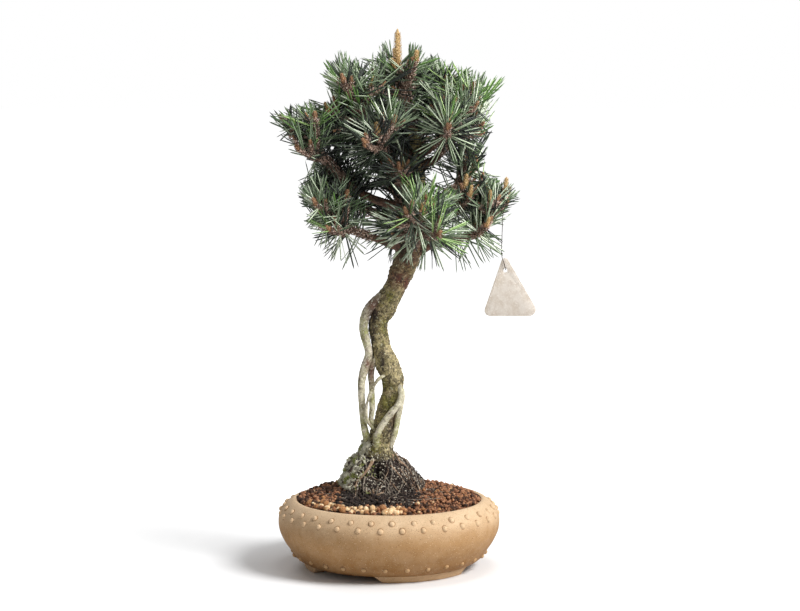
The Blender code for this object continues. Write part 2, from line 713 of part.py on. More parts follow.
def build_trunk(materials, parent):
    """Build the trunk, and the slightly larger guard that boughs and roots are cut with."""
    points, radii = trunk_rows()
    bm = bmesh.new()
    add_tube(bm, points, radii, TRUNK_SIDES, TRUNK_RELIEF, first=UP, last=foot_direction(MASSES[0]))
    trunk = add_object("trunk", bm, materials["bark"], parent)
    shade(trunk, 60.0)
    bm = bmesh.new()
    grown_points = [points[0] - UP * GUARD_GROWTH, *points[1:-1], points[-1] + UP * GUARD_GROWTH]
    grown_radii = [radius + GUARD_GROWTH for radius in radii]
    add_tube(bm, grown_points, grown_radii, TRUNK_SIDES, TRUNK_RELIEF, first=UP, last=foot_direction(MASSES[0]))
    guard = add_object("guard_trunk", bm, None, parent)
    hide_guard(guard)
    return guard


def add_mound(bm, growth):
    """Add the lobed mound of root fibre, larger by the growth."""
    rings = []
    base_z = SOIL_CROWN_Z + CLEAR
    for radius, share in MOUND_PROFILE:
        cx = MOUND_FOOT_CENTRE[0] + (MOUND_TOP_CENTRE[0] - MOUND_FOOT_CENTRE[0]) * share
        cy = MOUND_FOOT_CENTRE[1] + (MOUND_TOP_CENTRE[1] - MOUND_FOOT_CENTRE[1]) * share
        height = base_z + (MOUND_TOP_Z - base_z) * share
        ring = []
        for k in range(MOUND_SEGMENTS):
            angle = 2.0 * math.pi * k / MOUND_SEGMENTS
            lobes = 1.0 + (1.0 - 0.8 * share) * (0.05 * math.sin(3 * angle + 0.6) + 0.04 * math.sin(5 * angle))
            reach = radius * lobes + growth
            ring.append(bm.verts.new((cx + reach * math.cos(angle), cy + reach * math.sin(angle),
                                      height + growth * (1 if share == 1.0 else 0))))
        rings.append(ring)
    for low, high in zip(rings, rings[1:]):
        for k in range(MOUND_SEGMENTS):
            n = (k + 1) % MOUND_SEGMENTS
            bm.faces.new((low[k], low[n], high[n], high[k]))
    bm.faces.new(list(reversed(rings[0])))
    bm.faces.new(rings[-1])


def build_mound(materials, parent):
    """Build the root mound and its guard."""
    bm = bmesh.new()
    add_mound(bm, 0.0)
    mound = add_object("root_mound", bm, materials["root_fibre"], parent)
    shade(mound, 60.0)
    bm = bmesh.new()
    add_mound(bm, GUARD_GROWTH)
    guard = add_object("guard_mound", bm, None, parent)
    hide_guard(guard)
    return guard


def build_roots(guards, materials, parent):
    """Build the exposed roots, each cut clear of the trunk and the mound."""
    for name, rows in ROOTS.items():
        table = smooth_rows(rows, ROOT_STEP)
        bm = bmesh.new()
        add_tube(bm, [Vector(row[:3]) for row in table], [float(row[3]) for row in table], ROOT_SIDES)
        root = add_object(name, bm, materials["root_bark"], parent)
        shade(root, 60.0)
        for guard in guards:
            carve(root, guard)


def build_boughs(guard, materials, parent):
    """Build the bough of each mass that has one, cut clear of the trunk."""
    for mass in MASSES:
        if mass.bough_z == 0.0:
            continue
        points, radii = bough_rows(mass)
        bm = bmesh.new()
        add_tube(bm, points, radii, BOUGH_SIDES, last=foot_direction(mass))
        bough = add_object(mass.name.replace("foliage", "bough"), bm, materials["bark"], parent)
        shade(bough, 60.0)
        carve(bough, guard)


def pot_outline():
    """Return the pot's closed profile from the axis under it round to the axis inside it."""
    outside = [(0.0, POT_UNDERSIDE_Z), (POT_UNDERSIDE_R, POT_UNDERSIDE_Z), *POT_OUTSIDE]
    return [*outside, *POT_INSIDE, (0.0, POT_INSIDE[-1][1])]


def outside_at(height):
    """Return the pot's outer radius at a height and the slope angle of its wall there."""
    for (r0, z0), (r1, z1) in zip(POT_OUTSIDE, POT_OUTSIDE[1:]):
        if z0 <= height <= z1:
            share = (height - z0) / (z1 - z0)
            return r0 + (r1 - r0) * share, math.atan2(r0 - r1, z1 - z0)
    raise ValueError("no pot wall at that height")


def build_pot(materials, parent):
    """Build the bowl with its rings of nail heads fused on."""
    bm = bmesh.new()
    add_lathe(bm, pot_outline(), POT_SEGMENTS)
    pot = add_object("pot", bm, materials["stoneware"], parent)
    nails = []
    for height, count, first in NAIL_ROWS:
        radius, slope = outside_at(height)
        for k in range(count):
            turn = math.radians(first + 360.0 * k / count - 90.0)
            out = Vector((math.cos(turn) * math.cos(slope), math.sin(turn) * math.cos(slope), math.sin(slope)))
            foot = Vector((radius * math.cos(turn), radius * math.sin(turn), height))
            bm = bmesh.new()
            add_tube(bm, [foot + out * reach for reach, _ in NAIL_STATIONS],
                     [NAIL_RADIUS * width for _, width in NAIL_STATIONS], NAIL_SIDES)
            nails.append(add_object("nail", bm, materials["stoneware"], parent))
    fuse(pot, nails)
    shade(pot, 35.0)


def build_feet(materials, parent):
    """Build the three arc-shaped feet under the pot, with slanted ends."""
    for name, centre in FOOT_CENTRES.items():
        bm = bmesh.new()
        layers = []
        for height, half in ((0.0, FOOT_HALF_BOTTOM), (POT_UNDERSIDE_Z - CLEAR, FOOT_HALF_TOP)):
            outer = []
            inner = []
            for k in range(FOOT_STEPS + 1):
                turn = math.radians(centre - half + 2.0 * half * k / FOOT_STEPS - 90.0)
                for ring, radius in ((outer, FOOT_OUTER_R), (inner, FOOT_OUTER_R - FOOT_DEPTH)):
                    ring.append(bm.verts.new((radius * math.cos(turn), radius * math.sin(turn), height)))
            layers.append((outer, inner))
        (low_out, low_in), (high_out, high_in) = layers
        for k in range(FOOT_STEPS):
            bm.faces.new((low_out[k], low_out[k + 1], high_out[k + 1], high_out[k]))
            bm.faces.new((low_in[k], high_in[k], high_in[k + 1], low_in[k + 1]))
            bm.faces.new((low_out[k], low_in[k], low_in[k + 1], low_out[k + 1]))
            bm.faces.new((high_out[k], high_out[k + 1], high_in[k + 1], high_in[k]))
        for k in (0, FOOT_STEPS):
            bm.faces.new((low_out[k], high_out[k], high_in[k], low_in[k]))
        shade(add_object(name, bm, materials["stoneware"], parent), 30.0)


def build_soil(materials, parent):
    """Build the soil: it fills the bowl, and its top rises from the rim to a flat middle."""
    bm = bmesh.new()
    under = [(radius - SOIL_GAP, height) for radius, height in reversed(POT_INSIDE)]
    under[0] = (under[0][0], under[0][1] + CLEAR)
    under[-1] = (under[-1][0], SOIL_EDGE_Z)
    top = [(SOIL_SHOULDER_R, SOIL_SHOULDER_Z), (SOIL_CROWN_R, SOIL_CROWN_Z), (0.0, SOIL_CROWN_Z)]
    add_lathe(bm, [(0.0, POT_INSIDE[-1][1] + CLEAR), *under, *top], SOIL_SEGMENTS)
    shade(add_object("soil", bm, materials["soil"], parent), 50.0)


def tag_outline():
    """Return the rounded triangle of the hang tag as points in its own plane."""
    corners = [Vector(TAG_APEX), Vector(TAG_CORNERS[0]), Vector(TAG_CORNERS[1])]
    outline = []
    for i, corner in enumerate(corners):
        before = (corners[i - 1] - corner).normalized()
        after = (corners[(i + 1) % 3] - corner).normalized()
        inward = (before + after).normalized()
        half = before.angle(after) / 2
        centre = corner + inward * TAG_CORNER_R[i] / math.sin(half)
        first = (corner + before * TAG_CORNER_R[i] / math.tan(half)) - centre
        last = (corner + after * TAG_CORNER_R[i] / math.tan(half)) - centre
        for k in range(TAG_CORNER_STEPS + 1):
            spoke = first.normalized().slerp(last.normalized(), k / TAG_CORNER_STEPS)
            outline.append(centre + spoke * TAG_CORNER_R[i])
    return outline


def build_tag(materials, parent):
    """Build the bare hang tag with its hole, and the thread that it hangs on."""
    bm = bmesh.new()
    front = [bm.verts.new((p.x, TAG_HOLE[1] - TAG_THICK / 2, p.y)) for p in tag_outline()]
    face = bm.faces.new(front)
    grown = bmesh.ops.extrude_face_region(bm, geom=[face])["geom"]
    bmesh.ops.translate(bm, vec=(0.0, TAG_THICK, 0.0),
                        verts=[item for item in grown if isinstance(item, bmesh.types.BMVert)])
    tag = add_object("hang_tag", bm, materials["card"], parent)
    shade(tag, 30.0)
    bm = bmesh.new()
    hole = Vector(TAG_HOLE)
    reach = Vector((0.0, TAG_HOLE_CUT, 0.0))
    add_tube(bm, [hole - reach, hole + reach], [TAG_HOLE_R] * 2, TAG_HOLE_SIDES)
    cutter = add_object("guard_tag_hole", bm, None, parent)
    hide_guard(cutter)
    carve(tag, cutter)
    bm = bmesh.new()
    points = [Vector(row) for row in smooth_rows(THREAD, THREAD_STEP)]
    add_tube(bm, points, [THREAD_R] * len(points), THREAD_SIDES)
    shade(add_object("tag_thread", bm, materials["thread"], parent), 60.0)


def build_crown(materials, parent):
    """Grow every mass of foliage and build it."""
    clearance = Clearance()
    points, radii = trunk_rows()
    clearance.add(LIMB_OWNER, [(a, b, r * TRUNK_ROOM) for a, b, r in zip(points, points[1:], radii)])
    bough_ends = []
    for mass in MASSES:
        if mass.bough_z:
            points, radii = bough_rows(mass)
            clearance.add(LIMB_OWNER, [(a, b, r) for a, b, r in zip(points, points[1:-1], radii)])
            bough_ends.append((points[-2], points[-1], radii[-2]))
    thread = [Vector(row) for row in smooth_rows(THREAD, THREAD_STEP)]
    clearance.add(LIMB_OWNER, [(a, b, THREAD_R) for a, b in zip(thread, thread[1:])])
    clearance.add(LIMB_OWNER, [(Vector(TAG_HOLE), Vector(TAG_HOLE) - UP * TAG_KEEP_OUT, TAG_KEEP_OUT)])
    grown = grow_shoots(MASSES, clearance)
    clearance.add(LIMB_OWNER, bough_ends)
    blades = grow_sprays(MASSES, grown, clearance)
    for mass in MASSES:
        build_mass(mass, grown[mass.name], blades[mass.name], materials["needles"], parent)


def main():
    """Build the whole bonsai."""
    clear_scene()
    materials = make_materials()
    parent = bpy.data.objects.new("bonsai", None)
    parent.location = (POT_AXIS_X, 0.0, 0.0)
    bpy.context.scene.collection.objects.link(parent)
    build_pot(materials, parent)
    build_feet(materials, parent)
    build_soil(materials, parent)
    mound_guard = build_mound(materials, parent)
    trunk_guard = build_trunk(materials, parent)
    build_roots((trunk_guard, mound_guard), materials, parent)
    build_boughs(trunk_guard, materials, parent)
    build_crown(materials, parent)
    build_tag(materials, parent)


if __name__ == "__main__":
    main()
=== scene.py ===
"""The dressed Japanese black pine bonsai: exposed roots, a bent trunk and a round clay drum pot.

Every table below is in millimetres about the pot's axis, with the table top at z = 0, the viewer
at -Y and +X to the viewer's right. The Bench turns shapes into metres in the frame of the model.
The crown is grown on from the limbs by the same seeded rule as the solids, carried to finer twigs.
"""
import logging
import random
from dataclasses import dataclass, field
from enum import Enum
from math import atan2, cos, exp, hypot, pi, radians, sin, sqrt, tan
from typing import Sequence

import bmesh
import bpy
import numpy as np
from mathutils import Matrix, Vector, noise


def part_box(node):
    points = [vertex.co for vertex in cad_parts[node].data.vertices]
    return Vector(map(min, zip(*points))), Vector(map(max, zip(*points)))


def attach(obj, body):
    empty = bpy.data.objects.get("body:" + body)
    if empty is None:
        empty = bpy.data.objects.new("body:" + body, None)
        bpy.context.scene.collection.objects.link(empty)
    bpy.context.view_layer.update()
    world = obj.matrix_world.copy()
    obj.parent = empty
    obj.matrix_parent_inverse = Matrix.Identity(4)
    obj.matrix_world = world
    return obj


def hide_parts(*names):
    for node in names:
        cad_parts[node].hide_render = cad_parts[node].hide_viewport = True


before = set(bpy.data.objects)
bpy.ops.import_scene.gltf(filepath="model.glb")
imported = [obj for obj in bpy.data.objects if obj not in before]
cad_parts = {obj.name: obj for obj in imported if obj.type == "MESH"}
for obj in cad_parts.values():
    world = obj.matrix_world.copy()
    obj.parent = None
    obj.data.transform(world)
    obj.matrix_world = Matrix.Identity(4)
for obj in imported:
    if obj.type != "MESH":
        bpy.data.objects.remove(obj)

LOG = logging.getLogger("bonsai")
MM = 0.001
GOLDEN_ANGLE = radians(137.508)
UP = Vector((0, 0, 1))
NOISE_SEED = 7
Colour = tuple[int, int, int]
Point = tuple[float, float, float]
Line = list[Vector]
Profile = Sequence[tuple[float, float]]
Array = np.ndarray
Rng = np.random.Generator
BMesh = bmesh.types.BMesh
Socket = bpy.types.NodeSocket
Tree = bpy.types.NodeTree
Material = bpy.types.Material


def linear(colour: Colour) -> tuple[float, ...]:
    """Return a screen colour as a linear one."""
    shares = [value / 255 for value in colour]
    return (*[value / 12.92 if value <= 0.04045 else ((value + 0.055) / 1.055) ** 2.4 for value in shares], 1)


def smoothstep(low: float, high: float, value: float) -> float:
    """Return 0 below low, 1 above high and a smooth rise between them."""
    share = min(1, max(0, (value - low) / (high - low)))
    return share * share * (3 - 2 * share)


# The growth rule of the solids.

TRUNK_STEP = 9
BOUGH_STEP = 11
SHOOT_STEP = 22
SIDE_FROM = 0.3
SIDE_TO = 0.82
SIDE_UPTURN = 0.34
BARE_MAIN = 0.24
BARE_SIDE = 0.22
BUD_UPTURN = 0.045
CLEAR = 0.3
SHOOT_GAP = 2.5
TIP_REACH = 16
SIDE_TURNS = (0, 0.5, -0.5, 1, -1, 1.6, -1.6, 2.3)
VIEWER = (11, -2200, 480)
CROWN_ROWS = np.array((
    (290, -40, 76), (306, -66, 117), (328, -76, 112), (342, -84, 113), (352, -80, 121), (362, -90, 129),
    (377, -90, 130), (385, -87, 118), (392, -76, 92), (405, -82, 97), (415, -97, 95), (425, -110, 97),
    (432, -104, 106), (440, -116, 105), (448, -124, 99), (456, -117, 101), (460, -96, 101), (466, -58, 101),
    (479, -64, 117), (487, -68, 112), (503, -63, 59), (511, -54, 38), (518, -44, 32), (524, -3, 21),
), dtype=float)
CROWN_DEPTH = 106
SKY_GAPS = ((67, 389, 25, 8), (2, 367.5, 13, 7.5))
NEEDLE_GAPS = ((-25, 521, 15, 18), (49, 525, 11, 17), (-68, 470, 10, 10),
               (-9, 301, 9, 12), (11, 513, 9, 17), (13, 403, 6, 11), (-7, 372, 9, 7))
TRUNK_ROWS = (
    (-10, 0, 108.3, 20), (-10, 0, 116, 16), (-8, 0, 128, 13), (-5, 0, 142, 11),
    (-1, 0, 157, 10), (3, -1, 172, 10), (4.2, -2, 187, 11), (-0.6, -2, 200, 11.6),
    (-6.2, -1, 214, 10), (-9.8, 0.5, 229, 9.2), (-9.4, 1, 246, 9.8), (-2.8, 2, 262, 11.4),
    (7.4, 1, 282, 10.9), (14.6, 0.5, 299, 12), (20, 1, 315, 11.6), (24, 4, 336, 9),
    (29, 9, 368, 7.4), (28, 8, 397, 6.4), (26.5, 5, 418, 5.6), (24, 2, 436, 4.9),
)
THREAD_ROWS = (
    (111.6, -14, 350), (111.1, -14, 330), (110.8, -13.6, 313), (113.2, -13.8, 304),
    (114.6, -13.4, 299), (114.7, -12, 297.4),
)
THREAD_R = 0.45
TAG_HOLE = (114.6, -12, 296.8)
TAG_KEEP_OUT = 16


@dataclass(frozen=True)
class Mass:
    """One mass of foliage: its main shoot's places, the rule's numbers, and its tips' lean and freshness."""

    name: str
    bough_z: float
    foot: Point
    knee: Point
    tip: Point
    side: int
    spread: float
    reach: float
    roll: float
    bud: float
    seed: int
    lean: float = 30
    fresh: float = 0.06
    needle: float = 42
    foot_radius: float = 3.4
    tip_radius: float = 2.3


MASSES = (
    Mass("leader", 0, (24, 2, 436.3), (17, -4, 463), (9, -8, 494), 4, 46, 40, 15, 39, 1, 56, 0.15, 40, 4.8, 3.2),
    Mass("upper_left", 404, (-4, -2, 423), (-24, -8, 447), (-38, -15, 476), 4, 42, 38, 180, 14, 2, 22, 0.65, 44),
    Mass("far_left", 352, (-42, -6, 384), (-66, -14, 411), (-91, -20, 438), 3, 40, 38, 180, 9, 3, 24, 0.7, 44),
    Mass("left_low", 318, (-16, -6, 329), (-44, -14, 340), (-65, -22, 364), 4, 48, 38, 180, 14, 4, 36, 0.3),
    Mass("front_low", 314, (27, -22, 324), (31, -45, 338), (33, -62, 356), 4, 50, 30, 70, 12, 5, 26, 0.7),
    Mass("centre_low", 366, (21, -9, 371), (15, -15, 381), (13, -17, 392), 2, 52, 26, 80, 17, 6, 50, 0.06, 38),
    Mass("right_low", 310, (48, -2, 323), (88, -7, 334), (114, -10, 370), 4, 48, 34, 150, 19, 7, 48),
    Mass("right_mid", 334, (52, -3, 342), (66, -2, 354), (75, -2, 375), 2, 50, 30, 60, 17, 8, 46, 0.06, 36),
    Mass("upper_right", 412, (46, -14, 421), (56, -25, 429), (60, -33, 441), 3, 54, 34, 10, 13, 9, 34, 0.2),
    Mass("right_side", 400, (50, 4, 410), (70, -4, 434), (87, -12, 457), 3, 44, 34, 150, 11, 10, 22, 0.8, 46),
    Mass("centre", 392, (6, -12, 402), (-4, -24, 415), (-10, -35, 430), 3, 52, 30, 30, 14, 11),
    Mass("right_back", 425, (36, 16, 437), (44, 25, 453), (50, 28, 473), 2, 46, 34, 300, 12, 12, 20, 0.75, 44),
    Mass("left_back", 398, (-10, 27, 408), (-34, 34, 423), (-52, 36, 446), 3, 46, 34, 20, 13, 13),
    Mass("back_low", 330, (20, 28, 338), (14, 48, 346), (8, 62, 358), 3, 50, 32, 200, 12, 14),
    Mass("back_right", 358, (54, 26, 368), (70, 40, 378), (84, 48, 394), 2, 48, 34, 15, 14, 15),
    Mass("back_mid", 384, (22, 34, 398), (16, 50, 412), (10, 60, 432), 3, 48, 32, 65, 13, 16),
    Mass("back_left", 338, (-14, 22, 350), (-38, 36, 360), (-58, 44, 378), 3, 48, 34, 50, 12, 17),
)


@dataclass
class Shoot:
    """One twig: its points, its radii, where its needles begin, its bud, and how long its needles are."""

    points: Line
    radii: list[float]
    bare: float
    bud: float
    needle: float
    phase: float
    fresh: float = 0.3
    rank: int = 0
    lean: float = 30

    def length(self) -> float:
        """Return the twig's length."""
        return sum((b - a).length for a, b in zip(self.points, self.points[1:]))


def smooth_rows(rows: Sequence[Sequence[float]], step: float) -> list[Array]:
    """Read a Catmull-Rom curve through rows.

    Args:
        rows, step: Places with any further numbers, and the rough distance between new rows.

    Returns:
        The curve's rows.
    """
    table = np.array(rows, dtype=float)
    padded = np.vstack([2 * table[0] - table[1], table, 2 * table[-1] - table[-2]])
    out = [table[0]]
    for i in range(1, len(table)):
        a, b, c, d = padded[i - 1:i + 3]
        count = max(1, round(float(np.linalg.norm(c[:3] - b[:3])) / step))
        for k in range(1, count + 1):
            t = k / count
            out.append(0.5 * (2 * b + (c - a) * t + (2 * a - 5 * b + 4 * c - d) * t * t
                              + (3 * b - a - 3 * c + d) * t ** 3))
    return out


def point_on(points: Line, fraction: float) -> tuple[Vector, Vector]:
    """Find a place on a path.

    Args:
        points, fraction: The path, and how far along it.

    Returns:
        The place and the direction there.
    """
    lengths = [(b - a).length for a, b in zip(points, points[1:])]
    left = fraction * sum(lengths)
    for a, b, length in zip(points, points[1:], lengths):
        if left <= length or b is points[-1]:
            return a.lerp(b, min(1, left / length)), (b - a).normalized()
        left -= length
    return points[-1], (points[-1] - points[-2]).normalized()


def in_crown(places: Array, gaps: Sequence[tuple] = SKY_GAPS) -> Array:
    """Tell which places the camera sees within the crown's outline, and out of its gaps.

    Args:
        places: Rows of x, y and z.
        gaps: Rows of x, z, half width and half height.

    Returns:
        A truth value for each place.
    """
    scale = VIEWER[1] / (VIEWER[1] - places[:, 1])
    x = VIEWER[0] + (places[:, 0] - VIEWER[0]) * scale
    z = VIEWER[2] + (places[:, 2] - VIEWER[2]) * scale
    rows = CROWN_ROWS
    good = (np.abs(places[:, 1]) <= CROWN_DEPTH) & (z >= rows[0, 0]) & (z <= rows[-1, 0])
    good &= (x >= np.interp(z, rows[:, 0], rows[:, 1])) & (x <= np.interp(z, rows[:, 0], rows[:, 2]))
    for gap_x, gap_z, half_width, half_height in gaps:
        good &= ((x - gap_x) / half_width) ** 2 + ((z - gap_z) / half_height) ** 2 >= 1
    return good


class Clearance:
    """The round-ended segments that stand for every limb, as rows of (owner, start, end, radius)."""

    def __init__(self) -> None:
        """Start with no segments."""
        self.rows = np.zeros((0, 8))

    def add(self, owner: int, segments: Sequence[tuple]) -> None:
        """Keep the (start, end, radius) segments of an owner."""
        self.rows = np.vstack([self.rows, [(owner, *start, *end, radius) for start, end, radius in segments]])

    def admit(self, owner: int, shoot: Shoot, gap: float) -> bool:
        """Keep a shoot if it stays in the crown and clear of all that isn't its owner's.

        Args:
            owner, shoot: The owner's number and the shoot.
            gap: The gap that it leaves.

        Returns:
            True if it is kept.
        """
        ahead = (shoot.points[-1] - shoot.points[-2]).normalized()
        if not in_crown(np.array([shoot.points[-1] + ahead * TIP_REACH]))[0]:
            return False
        others = self.rows[self.rows[:, 0] != owner]
        segments = shoot_segments(shoot)
        for start, end, radius in segments:
            distance = segment_distances(np.array(start), np.array(end), others[:, 1:4], others[:, 4:7])
            if np.any(distance < others[:, 7] + radius + gap):
                return False
        self.add(owner, segments)
        return True


def segment_distances(start: Array, end: Array, starts: Array, ends: Array) -> Array:
    """Measure from one segment to many.

    Args:
        start, end: The segment.
        starts, ends: The others.

    Returns:
        The distances.
    """
    along = end - start
    others = ends - starts
    offset = start - starts
    a = float(along @ along) + 1e-9
    e = np.einsum("ij,ij->i", others, others) + 1e-9
    f = np.einsum("ij,ij->i", others, offset)
    c = offset @ along
    b = others @ along
    slack = a * e - b * b
    s = np.where(slack > 1e-6, np.clip((b * f - c * e) / np.maximum(slack, 1e-6), 0, 1), 0)
    t = np.clip((b * s + f) / e, 0, 1)
    s = np.clip((b * t - c) / a, 0, 1)
    gap = (start + s[:, None] * along) - (starts + t[:, None] * others)
    return np.linalg.norm(gap, axis=1)


def foot_direction(mass: Mass) -> Vector:
    """Return the direction in which a mass's main shoot leaves its foot."""
    return (Vector(mass.knee) - Vector(mass.foot)).normalized()


def bud_direction(shoot: Shoot) -> Vector:
    """Return the direction of a shoot's bud, which turns upright, the more so the longer it is."""
    along = (shoot.points[-1] - shoot.points[-2]).normalized()
    return along.lerp(UP, min(0.95, shoot.bud * BUD_UPTURN)).normalized()


def shoot_segments(shoot: Shoot) -> list[tuple]:
    """Stand segments in for a shoot and its bud.

    Args:
        shoot: The shoot.

    Returns:
        The (start, end, radius) segments.
    """
    segments = [(a, b, r) for a, b, r in zip(shoot.points, shoot.points[1:], shoot.radii)]
    tip = shoot.points[-1]
    segments.append((tip, tip + bud_direction(shoot) * shoot.bud, shoot.radii[-1] * 1.25))
    return segments


def limb_path(rows: Sequence[Sequence[float]], step: float) -> tuple[Line, list[float]]:
    """Return the points and the radii of a smooth limb through rows of (x, y, z, radius)."""
    rows = smooth_rows(rows, step)
    return [Vector(row[:3]) for row in rows], [float(row[3]) for row in rows]


def bough_path(mass: Mass, step: float) -> tuple[Line, list[float]]:
    """Lay the bough from inside the trunk to a mass's foot.

    Args:
        mass, step: The mass, and the rough distance between points.

    Returns:
        The points and the radii.
    """
    start = min(limb_path(TRUNK_ROWS, TRUNK_STEP)[0], key=lambda point: abs(point.z - mass.bough_z))
    foot = Vector(mass.foot)
    inward = -foot_direction(mass)
    span = (foot - start).length
    bend_near = start + (foot - start).normalized() * span * 0.35
    bend_far = foot + inward * span * 0.35
    count = max(3, round(span / step))
    points = []
    for i in range(count + 1):
        t = i / count
        points.append(start * (1 - t) ** 3 + bend_near * 3 * t * (1 - t) ** 2
                      + bend_far * 3 * t * t * (1 - t) + (foot + inward * CLEAR) * t ** 3)
    root_radius = mass.foot_radius * 1.45
    return points, [root_radius + (mass.foot_radius - root_radius) * i / count for i in range(count + 1)]


def branch(parent: Shoot, fraction: float, roll: float, spread: float, length: float) -> Line:
    """Lay a branch that leaves a shoot and then turns up a little.

    Args:
        parent, fraction: The shoot, and how far along it the branch leaves.
        roll, spread: Its turn about the shoot, and its angle to it.
        length: Its length.

    Returns:
        Its three points.
    """
    base, along = point_on(parent.points, fraction)
    side = along.cross(UP).normalized()
    rise = side.cross(along)
    out = along * cos(spread) + (rise * cos(roll) + side * sin(roll)) * sin(spread)
    middle = base + out * length * 0.5
    return [base, middle, middle + (out + UP * SIDE_UPTURN).normalized() * length * 0.5]


@dataclass
class Growth:
    """Grows every mass's shoots by the rule of the solids, and then the finer twigs on them."""

    masses: tuple[Mass, ...] = MASSES
    twig_from: float = 0.34
    twig_to: float = 0.9
    twig_reach: tuple[float, float] = (10, 17)
    twigs_main: int = 4
    twigs_side: int = 2
    twig_gap: float = 1

    def main_shoot(self, mass: Mass) -> Shoot:
        """Lay a mass's main shoot, from its foot past its knee to its tip.

        Args:
            mass: The mass.

        Returns:
            The shoot.
        """
        rows = smooth_rows((mass.foot, mass.knee, mass.tip), SHOOT_STEP)
        points = [Vector(row) for row in rows]
        step = (mass.tip_radius - mass.foot_radius) / (len(points) - 1)
        radii = [mass.foot_radius + step * i for i in range(len(points))]
        return Shoot(points, radii, BARE_MAIN, mass.bud, mass.needle, 0, mass.fresh, 0, mass.lean)

    def side_shoot(self, mass: Mass, main: Shoot, index: int, rng: random.Random, turn: float) -> Shoot:
        """Grow a side shoot by the golden-angle rule.

        Args:
            mass, main: The mass and its main shoot.
            index, turn: The side shoot's number, and a further turn that keeps it clear.
            rng: The mass's seeded numbers.

        Returns:
            The side shoot.
        """
        fraction = SIDE_FROM + (SIDE_TO - SIDE_FROM) * (index + 0.5) / mass.side
        roll = radians(mass.roll) + index * GOLDEN_ANGLE + turn
        length = mass.reach * (1.12 - 0.35 * fraction) * rng.uniform(0.88, 1.12)
        points = branch(main, fraction, roll, radians(mass.spread), length)
        radius = 0.72 * (mass.foot_radius + (mass.tip_radius - mass.foot_radius) * fraction)
        bud = mass.bud * rng.uniform(0.55, 0.85) if mass.bud < 20 else rng.uniform(8, 12)
        needle = mass.needle * rng.uniform(0.92, 1)
        return Shoot(points, [radius, radius * 0.95, max(1.5, radius * 0.82)], BARE_SIDE, bud, needle, roll,
                     main.fresh * 0.8, 1, 34)

    def limbs(self) -> tuple[Clearance, dict[str, list[Shoot]]]:
        """Grow the main and side shoots; one that would touch another part turns, or is skipped.

        Returns:
            The clearance that they fill, and each mass's shoots.
        """
        clearance = Clearance()
        points, radii = limb_path(TRUNK_ROWS, TRUNK_STEP)
        clearance.add(-1, [(a, b, r * 1.1) for a, b, r in zip(points, points[1:], radii)])
        for mass in self.masses:
            if mass.bough_z:
                points, radii = bough_path(mass, BOUGH_STEP)
                clearance.add(-1, [(a, b, r) for a, b, r in zip(points, points[1:-1], radii)])
        thread = [Vector(row) for row in smooth_rows(THREAD_ROWS, 7)]
        clearance.add(-1, [(a, b, THREAD_R) for a, b in zip(thread, thread[1:])])
        clearance.add(-1, [(Vector(TAG_HOLE), Vector(TAG_HOLE) - UP * TAG_KEEP_OUT, TAG_KEEP_OUT)])
        grown = {mass.name: [self.main_shoot(mass)] for mass in self.masses}
        for owner, mass in enumerate(self.masses):
            clearance.add(owner, shoot_segments(grown[mass.name][0]))
        for owner, mass in enumerate(self.masses):
            rng = random.Random(mass.seed)
            for index in range(mass.side):
                state = rng.getstate()
                for turn in SIDE_TURNS:
                    rng.setstate(state)
                    shoot = self.side_shoot(mass, grown[mass.name][0], index, rng, turn)
                    if clearance.admit(owner, shoot, SHOOT_GAP):
                        grown[mass.name].append(shoot)
                        break
        return clearance, grown

    def twig(self, parent: Shoot, share: float, rng: random.Random, turn: float) -> Shoot:
        """Grow a fine twig by the same rule, one step finer.

        Args:
            parent, share: The shoot, and how far along the twigs' part of it.
            rng: Seeded numbers.
            turn: Its turn from the first twig.

        Returns:
            The twig.
        """
        fraction = self.twig_from + (self.twig_to - self.twig_from) * share
        roll = parent.phase + 1.2 + turn
        spread = radians(rng.uniform(42, 58))
        points = branch(parent, fraction, roll, spread, rng.uniform(*self.twig_reach))
        bud = rng.uniform(4, 7.5)
        needle = parent.needle * rng.uniform(0.84, 0.98)
        return Shoot(points, [1.5, 1.35, 1.2], 0.1, bud, needle, roll, parent.fresh * 0.7, 2)

    def grow(self) -> list[Shoot]:
        """Grow the whole crown, and return every shoot and twig."""
        clearance, grown = self.limbs()
        shoots = [shoot for mass in self.masses for shoot in grown[mass.name]]
        for owner, mass in enumerate(self.masses):
            rng = random.Random(500 + mass.seed)
            for parent in grown[mass.name]:
                count = self.twigs_side if parent.rank else self.twigs_main
                for index in range(count):
                    for turn in SIDE_TURNS[:5]:
                        shoot = self.twig(parent, (index + 0.5) / count, rng, index * GOLDEN_ANGLE + turn)
                        ahead = (shoot.points[-1] - shoot.points[-2]).normalized()
                        if ahead.y < -0.45 and parent.points[-1].y < 5:
                            continue
                        if clearance.admit(owner, shoot, self.twig_gap):
                            shoots.append(shoot)
                            break
        return shoots


# Node graphs and finishes.


